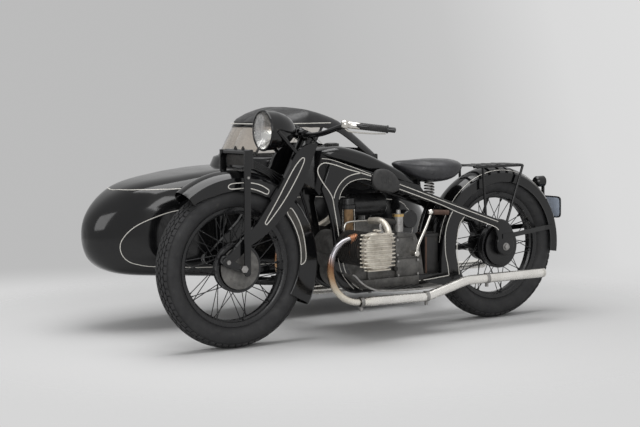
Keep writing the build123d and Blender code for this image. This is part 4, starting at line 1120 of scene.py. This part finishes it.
saddle_leather = finish("saddle_leather", (0.016, 0.016, 0.018), (0.034, 0.034, 0.038), 16.0, (0.26, 0.42),
                        bump=0.4, grain=620.0, spots=((12.0, 0.5, 0.76, (0.06, 0.06, 0.065)),))
saddle_rows = ((228, 46, 716, 738, 2.2), (236, 80, 704, 745, 2.4), (262, 112, 686, 750, 2.6),
               (300, 125, 664, 752, 3.0), (350, 122, 656, 753, 3.2), (410, 100, 658, 752, 3.0),
               (450, 72, 672, 751, 2.8), (500, 48, 698, 750, 2.6), (546, 30, 724, 749, 2.4),
               (566, 14, 736, 746, 2.2))
saddle = piece("saddle_pad", [pad_block(saddle_rows)], saddle_leather, MACHINE, ("saddle",), sharp=60)
inflate(saddle, 3.0, 0.004)
coils, seats = [], []
for mark in (1, -1):
    coils.append(tube(helix((404, mark * 58), 21, 588, 660, 5.5), 3.8, 8))
    seats.append(lathe([(580, 0), (580, 25), (586, 25), (588, 16), (588, 0)], (404, mark * 58, 0), 28, "z", False))
    seats.append(lathe([(658, 0), (658, 24), (664, 24), (666, 0)], (404, mark * 58, 0), 28, "z", False))
coils.append(tube(np.array([(404, -FRAME_IN, 578), (404, FRAME_IN, 578)], float), 6.0, 14))
seats.append(plate([np.array([(414, 582), (434, 582), (440, 700), (426, 700)], float)], -16, 16, 2.0))
piece("saddle_coils", coils, steel, MACHINE, ("saddle_springs",))
piece("saddle_spring_seats", seats, worn_enamel, MACHINE)
back_rows = [(z, 372 + 26 * (700 - z) / 340, half, thick) for z, half, thick in (
    (352, 206, 12), (372, 221, 20), (440, 224, 24), (560, 224, 24), (650, 220, 20), (684, 206, 12))]
rings = []
for z, x, half, thick in back_rows:
    flat = ring_of((x, CAR_Y), (thick, half), 3.4, 44)
    rings.append(np.column_stack([flat, np.full(len(flat), float(z))]))
rings = [np.broadcast_to(rings[0].mean(0), rings[0].shape), *rings, np.broadcast_to(rings[-1].mean(0), rings[-1].shape)]
backrest = piece("sidecar_back_pad", [grid(np.stack(rings), False, True)], leather_black, MACHINE,
                 ("sidecar_backrest",), sharp=60)
inflate(backrest, 3.0, 0.006)

# %% [markdown]
# The engine is a flat twin. Each cylinder is a dark barrel of round fins and a pale head whose flat
# fins are plates: their outlines are rounded boxes that get narrower towards top and bottom.

# %% Cylinders and intake
cyl_x, cyl_z = CYL
barrel_line = [(79, 0), (79, 46), (108, 46), (110, 54)]
for k in range(12):
    barrel_line += [(114 + 15 * k, 54), (115 + 15 * k, 74), (118 + 15 * k, 74), (119 + 15 * k, 54)]
barrel_line += [(296, 54), (296, 0)]
barrel = lathe(barrel_line, (cyl_x, 0, cyl_z), 56, closed=False)
head_shapes = [plate([ring_of((cyl_x - 6, cyl_z), (66, 78), 3.4)], 290, 336, 8.0, "xz", 4)]
for k in range(11):
    rise = -82 + 16.4 * k
    far = min(abs(rise + 2.8) / 84, 1.0)
    half = min(79 * (1 - far ** 3.2) ** (1 / 3.2) + 12, 79)
    reach = 344 - 8 * far ** 4
    for near, last in ((298, 312), (318, reach)):
        loop = ring_of((cyl_x - 6, (near + last) / 2), (half, (last - near) / 2), 4.0)
        head_shapes.append(plate([loop], cyl_z + rise, cyl_z + rise + 6.4, 2.4, "xy", 3))
plug = lathe([(474, 0), (474, 13), (482, 13), (483, 9), (490, 9), (491, 7), (508, 6), (509, 3.5), (514, 0)],
             (cyl_x - 18, 322, 0), 20, "z", False)
intake = smooth([(765, 118, 505), (760, 190, 508), (758, 236, 482), (790, 300, 440)], 26)
elbow = tube(intake, np.interp(np.linspace(0, 1, 26), [0, 0.8, 1], [15, 15, 19]), 18, (0.3, 0.1, 1))
carb_bowl = lathe([(452, 0), (452, 20), (455, 22), (520, 22), (521, 24.5), (529, 24.5), (530, 18), (532, 11),
                   (548, 10), (551, 0)], (640, 150, 0), 32, "z", False)
carb_body = tube(smooth([(640, 150, 492), (690, 150, 500), (730, 158, 506), (762, 178, 508)], 20), 13.5, 16,
                 (0, 1, 0.2))
carb_ring = lathe([(519, 22), (519, 25.5), (530, 25.5), (530, 22)], (640, 150, 0), 32, "z")
priming = tube(smooth([(770, 112, 505), (872, 112, 505), (893, 112, 488), (893, 112, 460), (868, 112, 438)], 50), 4.2,
               10, (0, 1, 0.01))
air_drum = lathe([(60, 0), (60, 37), (64, 40), (116, 40), (120, 37), (120, 0)], (553, 0, 500), 40, closed=False)
for label, turned in (("left", lambda s: s), ("right", mirror_y)):
    piece("barrel_" + label, [turned(barrel)], dark_iron, MACHINE, ("cylinder_" + label,), sharp=40)
    piece("cylinder_head_" + label, [turned(s) for s in head_shapes], head_alloy, MACHINE, sharp=40)
    piece("spark_plug_" + label, [turned(plug)], steel, MACHINE)
    piece("intake_" + label, [turned(elbow)], head_alloy, MACHINE)
piece("carburettor_bowls", both_sides([carb_bowl]), steel, MACHINE, ("carburettors",))
piece("carburettor_throats", both_sides([carb_body]), dark_iron, MACHINE)
piece("carburettor_rings", both_sides([carb_ring]), brass, MACHINE)
piece("priming_pipe", [priming], nickel, MACHINE)
piece("air_drum", [air_drum], worn_enamel, MACHINE)

# %% [markdown]
# The crankcase is a cast box with covers bolted on. It could be cut from one block, but here the castings are
# outlines pushed out sideways and the covers are rounded blocks that stand off them, so the joints show as
# real steps. The magneto is a turned shape that stands upright, and bolts and plugs are small turned shapes
# at the covers' corners.

# %% Crankcase, magneto and gearbox details
case_loop = outline((905, 300), [((912, 400), (884, 432)), (600, 432), (596, 440), (596, 215), (860, 212),
                                 ((895, 240), (905, 300))])
case_top = outline((870, 430), [((868, 470), (840, 496)), (640, 496), (606, 440), (606, 420), (870, 420)])
case_shapes = [plate([case_loop], -80, 80, 10.0, "xz", 4), plate([case_top], -44, 44, 8.0, "xz", 3),
               lathe([(-88, 0), (-88, 58), (-82, 62), (82, 62), (88, 58), (88, 0)], (cyl_x, 0, cyl_z), 40,
                     closed=False)]
piece("crankcase_castings", case_shapes, dull_alloy, MACHINE, ("crankcase",), sharp=40)
old_brass = finish("old_brass", (0.13, 0.08, 0.045), (0.26, 0.17, 0.09), 50.0, (0.35, 0.5), metallic=0.8, bump=0.1)
dynamo = lathe([(620, 0), (620, 44), (626, 49), (792, 49), (798, 44), (798, 0)], (0, -6, 566), 40, "x", False)
magneto = lathe([(436, 0), (436, 37), (560, 37), (561, 40), (574, 40), (577, 36), (602, 34), (606, 28), (606, 0)],
                (836, 44, 0), 40, "z", False)
piece("dynamo", [dynamo, magneto], worn_enamel, MACHINE)
band = lathe([(444, 37), (444, 38.4), (556, 38.4), (556, 37)], (836, 44, 0), 20, "z", True, 38.0, 62.0)
piece("magneto_band", [band], old_brass, MACHINE)
trims = [lathe([(444, 37), (444, 39.2), (556, 39.2), (556, 37)], (836, 44, 0), 5, "z", True, 22.0 + 84.0 * k, 10.0)
         for k in range(2)]
piece("magneto_trims", trims, nickel, MACHINE)
covers = [block((506, 78, 334), (610, 87, 417), 3.0), block((486, 78, 244), (608, 89, 322), 3.0),
          block((640, 78, 236), (760, 86, 300), 4.0)]
piece("case_covers", both_sides(covers), dull_alloy, MACHINE)


def bolt(x, y, z, size=6.0, reach=5.0):
    """Hexagon head that stands off a side face at y."""
    mark = np.sign(y)
    return lathe([(y - mark, 0), (y - mark, size), (y + mark * reach, size * 0.94), (y + mark * reach, 0)],
                 (x, 0, z), 6, closed=False)


bolts = [bolt(x, mark * y, z) for mark in (1, -1) for x, y, z in (
    (514, 87, 408), (602, 87, 408), (514, 87, 342), (602, 87, 342), (494, 89, 252), (600, 89, 252), (494, 89, 314),
    (600, 89, 314), (648, 86, 244), (752, 86, 244), (648, 86, 292), (752, 86, 292))]
knobs = [lathe([(88, 0), (88, 11), (104, 11), (107, 8), (107, 0)], (x, 0, z), 20, closed=False)
         for x, z in ((620, 283), (482, 224))]
piece("case_bolts", bolts, steel, MACHINE)
piece("case_plugs", knobs, dark_iron, MACHINE)

# %% [markdown]
# Each pipe leaves its port, bends down in front of the engine and runs back to a wider tail. It is two tubes:
# the header follows one smooth curve, and the tail follows straight runs joined by arcs. A tube carried along
# a line stays round in its bends. The right side is the left one mirrored. The nickel is tinted by heat near
# the port.

# %% Exhausts
header_line = smooth([(905, 220, 448), (932, 220, 443), (976, 220, 430), (1014, 220, 398), (1032, 220, 351),
                      (1033, 220, 298), (1016, 220, 246), (976, 220, 202), (922, 220, 178), (862, 220, 173)], 70)
header = tube(header_line, 15.0, 22, (0, 1, 0.01))
silencer_line = bend([(872, 220, 173), (540, 220, 167), (420, 220, 196), (320, 220, 221), (-128, 220, 221)],
                     (120, 150, 200), 8)
silencer_line = resample(silencer_line, 90)
swell = np.interp(np.arange(90), [0, 3, 4, 85, 89], [17, 20.5, 21, 21, 21])
silencer = tube(silencer_line, swell, 24, (0, 1, 0.01))
nut_line = resample(header_line[:6], 25)
nut = tube(nut_line, 18.5 + 2.2 * np.sin(np.linspace(0, 8 * np.pi, 25)), 24, (0, 1, 0.01))
mouth = lathe([(-129, 14), (-130, 17), (-129, 20.5), (-124, 21.4), (-112, 21.4), (-112, 14)], (0, 220, 221), 28, "x")
hollow = lathe([(-128.6, 0), (-128.6, 15), (-127, 15), (-127, 0)], (0, 220, 221), 24, "x", False)
clamp_shapes = []
for x, z in ((884, 173), (543, 169), (206, 221)):
    clamp_shapes.append(lathe([(x - 8, 20), (x - 8, 23.5), (x + 8, 23.5), (x + 8, 20)], (0, 220, z), 28, "x"))
    clamp_shapes.append(block((x - 6, 214, z - 38), (x + 6, 226, z - 18), 2.0))
copper = finish("copper", (0.42, 0.2, 0.11), (0.62, 0.33, 0.2), 60.0, (0.3, 0.5), metallic=1.0, bump=0.15,
                spots=((90.0, 0.58, 0.7, (0.1, 0.06, 0.04)),))
for label, turned, metal in (("left", lambda s: s, exhaust_left), ("right", mirror_y, exhaust_right)):
    piece("exhaust_pipe_" + label, [turned(header), turned(silencer)], metal, MACHINE,
          ("exhaust_" + label,))
    piece("exhaust_nut_" + label, [turned(nut)], copper, MACHINE)
    piece("exhaust_mouth_" + label, [turned(mouth)], nickel, MACHINE)
    piece("exhaust_hollow_" + label, [turned(hollow)], dark_iron, MACHINE)
    piece("exhaust_clamps_" + label, [turned(s) for s in clamp_shapes], steel, MACHINE)

# %% [markdown]
# The footboards are bent plates with ribbed rubber on top. A side profile with a thickness is carried across
# the board, and the ribs are rows of small bars. The battery is a case held down by a strap, and it is bare.

# %% Footboards, kick starter and battery
lip = np.array([(915, 292), (901, 286), (872, 258), (843, 237), (814, 224), (785, 215), (700, 208), (589, 204),
                (500, 205), (444, 209)], float)
lip = smooth(lip, 48)
tread = np.concatenate([lip, (lip - [0, 5.0])[::-1]])
boards = [plate([tread], 106, 202, 1.5, "xz", 2), block((500, 106, 207), (818, 110, 247), 1.5)]
edges = [tube(on_side(lip - [0, 2.5], 203.0), 4.0, 10, (0, 1, 0.01), squash=0.7)]
ribs = [block((540 + 28 * k, 116, 203), (552 + 28 * k, 194, 210.5), 2.0) for k in range(8)]
piece("footboards_pressed", both_sides(boards), dull_alloy, MACHINE, ("footboards",))
piece("footboard_edges", both_sides(edges), steel, MACHINE)
piece("footboard_rubber", both_sides(ribs), pad_rubber, MACHINE)
arm = smooth([(520, 114, 339), (513, 116, 372), (500, 119, 405), (474, 122, 455), (448, 125, 512)], 30)
kick_shapes = [tube(arm, np.linspace(9, 6.5, 30), 14, (0, 1, 0.01), squash=0.8),
               lathe([(80, 0), (80, 13), (124, 13), (126, 10), (126, 0)], (519, 0, 345), 24, closed=False),
               lathe([(-14, 0), (-12, 9), (0, 14), (12, 9), (14, 0)], (447, 124, 526), 24, "x", False)]
piece("kick_arm", kick_shapes, nickel, MACHINE, ("kick_starter",))
rubber_line = np.linspace(0, 1, 61)[:, None] * [-84.0, 0, -6] + [434.0, 124, 525]
rubber_r = 10.8 + 0.9 * np.cos(np.linspace(0, 24 * np.pi, 61))
piece("kick_rubber", [tube(rubber_line, rubber_r, 16, (0, 1, 0.01))], pedal_rubber, MACHINE)
battery_box = [block((374, 14, 248), (449, 82, 412), 4.0), block((371, 12, 411), (451, 84, 424), 3.0),
               block((384, 30, 423), (440, 66, 431), 3.0)]
piece("battery_box", battery_box, moulded_case, MACHINE, ("battery",))
strap = [block((438, 82, 248), (447, 85, 412), 1.0), block((438, 14, 424), (447, 84, 427), 1.0)]
piece("battery_strap", strap, pedal_rubber, MACHINE)

# %% [markdown]
# The fork's blades are pressed steel and keep their solid. This cell adds what lies on them and around them:
# painted lines, thin paler panels inside the lower lines on the guard, the beam that clamps the leaf spring, its
# leaves, the upright bars with short arms at their feet, the axle with its nuts, and the brake plate. Each leaf is
# a thin side profile carried across, and the next one starts further forward and lies lower. A painted line could
# be drawn in the material, but here it is a closed loop of points laid on the face as a narrow raised band.

# %% Fork, clamp and links
BLADE_LOOP = ((1088, 785), (1131, 739), (1205, 622), (1266, 530), (1266, 520), (1256, 521), (1177, 611), (1114, 704),
              (1077, 773))
GUARD_LOOPS = (((1426, 680), (1409, 690), (1356, 692), (1321, 690), (1278, 680), (1241, 660), (1236, 650),
                (1246, 640), (1283, 655), (1321, 666), (1356, 669), (1414, 669)),
               ((1139, 574), (1148, 558), (1128, 515), (1112, 461), (1104, 407), (1105, 353), (1095, 340), (1080, 334),
                (1061, 354), (1062, 404), (1072, 463), (1091, 518), (1122, 568)))
guard_low = ((53, 60), (70, 78), (120, 84), (165, 104), (208, 128))
bands, pale_guard_panels = [], []
for mark in (1, -1):
    bands.append(ribbon(on_side(smooth(BLADE_LOOP, 110, True), mark * 90.0), (0, mark, 0), 4.0, 0.45, True))
    for number, loop in enumerate(GUARD_LOOPS):
        flat = smooth(loop, 110, True) - [WHEELBASE, AXLE_Z]
        angle = np.degrees(np.arctan2(flat[:, 1], flat[:, 0])) % 360
        low = 402 - np.interp(angle, *zip(*guard_low)) + 5
        reach = np.clip(np.linalg.norm(flat, axis=1), low, 402 - 0.45 * 66 - 3)
        flat = unit(flat) * reach[:, None] + [WHEELBASE, AXLE_Z]
        bands.append(ribbon(on_side(flat, mark * 66.0), (0, mark, 0), 4.0, 0.45, True))
        if number:
            sides = (65.6, 66.25) if mark > 0 else (-66.25, -65.6)
            pale_guard_panels.append(plate([inset(flat, 3.0)], *sides, 0.1, "xz", 1))
piece("fork_lines", bands, stripe_paint, FORK)
# Inside each lower line on the guard's side lies a thin panel, paler and more matt than the enamel round it.
pale_guard_paint = finish("pale_matt_guard_paint", (0.03, 0.028, 0.025), (0.075, 0.07, 0.062), 30.0, (0.55, 0.75), bump=0.1)
piece("guard_pale_panels", pale_guard_panels, pale_guard_paint, FORK)
clamp_box = [block((1326, -104, 748), (1350, 104, 828), 8.0, "yz"), block((1296, -32, 756), (1332, 32, 820), 4.0)]
recess = [block((1349.4, -82, 762), (1350.8, 82, 812), 0.5, "yz")]
studs = [lathe([(824, 0), (824, 8), (834, 8), (835, 5), (840, 4.5), (841, 0)], (1338, y, 0), 6, "z", False)
         for y in (-32, 34)]
piece("spring_beam", clamp_box, enamel, FORK, ("leaf_spring",))
piece("spring_beam_recess", recess, dark_iron, FORK)
piece("spring_beam_studs", studs, dark_iron, FORK)
leaves = []
for k in range(5):
    top = smooth([(1092 + 26 * k, 682 - 6 * k), (1210, 746 - 8 * k), (1332, 802 - 8 * k)], 30)
    low = top - [0, 6.4]
    leaves.append(plate([np.concatenate([top, low[::-1]])], -25, 25, 1.2, "xz", 2))
piece("leaf_stack", leaves, worn_enamel, FORK)
bar_loop = np.array([(1350, 318), (1342, 826), (1373, 826), (1380, 318)], float)
arm_loop = outline((1454, 392), [((1474, 372), (1452, 352)), (1374, 318), ((1350, 310), (1350, 332))])
link_shapes = []
for turned in (lambda s: s, mirror_y):
    link_shapes += [turned(plate([bar_loop], 102, 110, 2.5)), turned(plate([arm_loop], 92, 102, 2.5))]
link_shapes.append(tube(np.array([(1358, -104, 815), (1358, 104, 815)], float), 9.0, 18))
piece("fork_bars", link_shapes, enamel, FORK, ("fork_links",))
axle_shapes = [lathe([(-114, 0), (-114, 9.3), (114, 9.3), (114, 0)], (WHEELBASE, 0, AXLE_Z), 24, closed=False)]
for mark in (1, -1):
    axle_shapes.append(lathe([(mark * 103, 0), (mark * 103, 17), (mark * 113, 16), (mark * 113, 0)],
                             (WHEELBASE, 0, AXLE_Z), 6, closed=False))
    axle_shapes.append(lathe([(mark * 109, 0), (mark * 109, 7), (mark * 116, 6), (mark * 116, 0)], (1358, 0, 714), 6,
                             closed=False))
    axle_shapes.append(lathe([(mark * 90, 0), (mark * 90, 11), (mark * 106, 10), (mark * 106, 0)], (1450, 0, 372), 6,
                             closed=False))
piece("front_axle", axle_shapes, steel, FORK)
drum_side = lathe([(65.5, 0), (65.5, 88), (68, 89), (70.5, 88), (71.5, 84), (71.5, 0)], (WHEELBASE, 0, AXLE_Z), 56,
                  closed=False)
piece("front_brake_plate", [drum_side], dull_alloy, FORK)

# %% [markdown]
# A headlamp is a bowl, a reflector inside it, a bulb and a domed glass. Bowl, reflector and bulb are profiles
# spun about the lamp's axis, and the reflector's depth grows with the square of its radius. The glass is a
# grid of radius and angle, because its upright flutes go across it and can't be spun. It has two faces and a
# closed edge, because a single sheet would not bend light as glass does.

# %% Headlamp
lamp_z, rim_x = 902.0, 1223.0
bowl = lathe([(rim_x - 4, 78), (rim_x - 4, 84), (rim_x - 50, 82), (rim_x - 92, 70), (rim_x - 124, 50),
              (rim_x - 146, 26), (rim_x - 154, 0), (rim_x - 150, 0), (rim_x - 142, 24), (rim_x - 120, 47),
              (rim_x - 90, 66), (rim_x - 50, 78)],
             (0, 0, lamp_z), 64, "x")
rim_line = np.linspace(0, 2 * np.pi, 72, endpoint=False)
rim_path = np.stack([np.full(72, rim_x), 81.5 * np.cos(rim_line), lamp_z + 81.5 * np.sin(rim_line)], -1)
rim = tube(rim_path, 5.5, 12, (1, 0, 0.01), closed=True)
piece("lamp_bowl", [bowl, rim], enamel, FORK, ("headlamp",))
depth = np.linspace(0, 76, 18)
mirror_profile = np.stack([rim_x - 62 + 62 * (depth / 76) ** 2, depth], -1)
back_profile = mirror_profile - [2.0, 0]
# The reflector's colour is a painted reflection. A ramp by height makes it near white below the lamp's middle and a
# darker brownish grey above, standing in for what the mirror reflects.
painted_reflection_finish = finish("reflector_painted_reflection", (0.55, 0.5, 0.45), (0.7, 0.66, 0.62), 30.0, (0.12, 0.2), metallic=1.0)
shader = next(n for n in painted_reflection_finish.node_tree.nodes if n.type == "BSDF_PRINCIPLED")
high = add(painted_reflection_finish.node_tree, "ShaderNodeSeparateXYZ")
painted_reflection_finish.node_tree.links.new(add(painted_reflection_finish.node_tree, "ShaderNodeTexCoord").outputs["Object"], high.inputs[0])
level = add(painted_reflection_finish.node_tree, "ShaderNodeMapRange")
level.inputs["From Min"].default_value = (lamp_z - 20) / 1000 + HOME[2]
level.inputs["From Max"].default_value = (lamp_z + 20) / 1000 + HOME[2]
painted_reflection_finish.node_tree.links.new(high.outputs["Z"], level.inputs["Value"])
shade = ramp(painted_reflection_finish.node_tree, level.outputs[0], (0.2, (0.95, 0.95, 0.93)), (0.6, (0.42, 0.38, 0.34)))
painted_reflection_finish.node_tree.links.new(shade, shader.inputs["Base Color"])
piece("lamp_reflector", [lathe(np.concatenate([mirror_profile, back_profile[::-1]]), (0, 0, lamp_z), 64, "x")],
      painted_reflection_finish, FORK)
bulb = lathe([(rim_x - 56, 0), (rim_x - 56, 9), (rim_x - 44, 9), (rim_x - 30, 12), (rim_x - 20, 8), (rim_x - 17, 0)],
             (0, 0, lamp_z), 24, "x", False)
piece("lamp_bulb", [bulb], mirror_metal, FORK)
r, a = np.linspace(0.01, 77.5, 34)[:, None], np.linspace(0, 2 * np.pi, 180, endpoint=False)[None, :]
across, above = r * np.cos(a), r * np.sin(a)
dome = rim_x + 3 + 9 * (1 - (r / 77.5) ** 2)
flute = 0.7 * np.cos(across / 8.5 * 2 * np.pi) * np.clip((77 - r) / 12, 0, 1)
face = np.stack([dome + flute, across, lamp_z + above], -1)
inner_face = np.stack([dome - 3 + 0 * flute, across, lamp_z + above], -1)
piece("lamp_glass", [merge(grid(face, False, True), grid(inner_face, False, True),
                           grid(np.stack([face[-1], inner_face[-1]]), False, True))],
      lamp_glass, FORK, ("headlamp_lens",))

# %% [markdown]
# The bar is one tube, drawn as half a curve and mirrored so that both ends match. Grips are sleeves whose
# radius swells and shrinks along them, which makes the ribs, and each lever is a slightly flattened tube that
# follows its grip at a small distance.

# %% Handlebar, levers and grips
half_bar = [(1048, 0, 884), (1044, 50, 881), (1038, 100, 881), (1026, 160, 889), (1012, 215, 904), (1000, 262, 917),
            (984, 302, 923), (952, 330, 919), (885, 358, 909), (821, 390, 900)]
whole_bar = smooth([(x, -y, z) for x, y, z in half_bar[:0:-1]] + half_bar, 120)
piece("handlebar_tube", [tube(whole_bar, 11.0, 16)], enamel, FORK, ("handlebar",))
grip_a, grip_b = np.array([952.0, 324, 919]), np.array([819.0, 391, 900])
way = grip_b - grip_a


def on_grip(*shares):
    """Points along the grip's line."""
    return np.array([grip_a + way * s for s in shares])


bright, dark, ends = [], [], []
bright.append(tube(on_grip(-0.34, -0.3, -0.02, 0.02), np.array([11.5, 14.5, 14.5, 13]), 20))
bright.append(tube(on_grip(-0.5, -0.44, -0.38, -0.33), np.array([15, 19, 19, 15]), 20))
lever = smooth([grip_a + way * s - [0, 0, d]
                for s, d in ((-0.42, 14), (-0.3, 26), (0.0, 27), (0.4, 24), (0.72, 19))], 40)
bright.append(tube(lever, np.interp(np.arange(40), [0, 8, 39], [7, 4.4, 3.2]), 10, squash=0.8))
shares = np.linspace(0.02, 0.74, 60)
dark.append(tube(on_grip(*shares), 14.2 + 0.8 * np.cos(np.linspace(0, 30 * np.pi, 60)), 20))
ends.append(tube(on_grip(0.74, 0.75, 0.79, 0.8), np.array([14, 16.5, 16.5, 12]), 20))
ends.append(tube(on_grip(0.79, 0.98, 1.0), np.array([9.5, 9.5, 7.5]), 16))
piece("lever_brackets", both_sides(bright), nickel, FORK)
piece("grip_rubbers", both_sides(dark), grip_rubber, FORK, ("grips",))
piece("grip_ends", both_sides(ends), worn_enamel, FORK)
clamp_ring = [tube(np.array([(1047, y - 14, 884), (1047, y + 14, 884)], float), 17.0, 20) for y in (-34, 34)]
cap_nut = lathe([(884, 0), (884, 18), (896, 20), (904, 18), (909, 11), (910, 0)], (1040, 0, 0), 28, "z", False)
piece("bar_clamps", clamp_ring, enamel, FORK)
piece("steering_damper_knob", [cap_nut], enamel, FORK)

# %% [markdown]
# The tail lamp is a small turned body with a red glass. The number plate is a thin sheet in a frame, and it
# stays blank.

# %% Tail lamp and plate
tail_body = lathe([(-268, 0), (-268, 20), (-276, 26), (-316, 27), (-318, 24), (-312, 22), (-300, 20), (-300, 0)],
                  (0, 0, 626), 40, "x", False)
tail_glass = lathe([(-311, 0), (-311, 22.5), (-316, 22), (-320, 15), (-322, 0)], (0, 0, 626), 36, "x", False)
tail_bracket = block((-322, -8, 546), (-313, 8, 606), 2.0)
piece("tail_lamp_body", [tail_body, tail_bracket], enamel, MACHINE, ("tail_lamp",))
piece("tail_lamp_glass", [tail_glass], red_glass, MACHINE)
outer_loop, inner_loop = ring_of((0, 502), (74, 52), 7.0, 64), ring_of((0, 502), (68, 46), 7.0, 64)
piece("number_plate_sheet", [plate([outer_loop], -366, -362.5, 0.8, "yz", 2)], plate_paint, MACHINE,
      ("number_plate",))
piece("number_plate_frame", [plate([outer_loop, inner_loop], -368, -361, 1.4, "yz", 2)], enamel, MACHINE)

# %% [markdown]
# The last line shows the picture through the plain Standard view transform.

bpy.context.scene.view_settings.view_transform = "Standard"
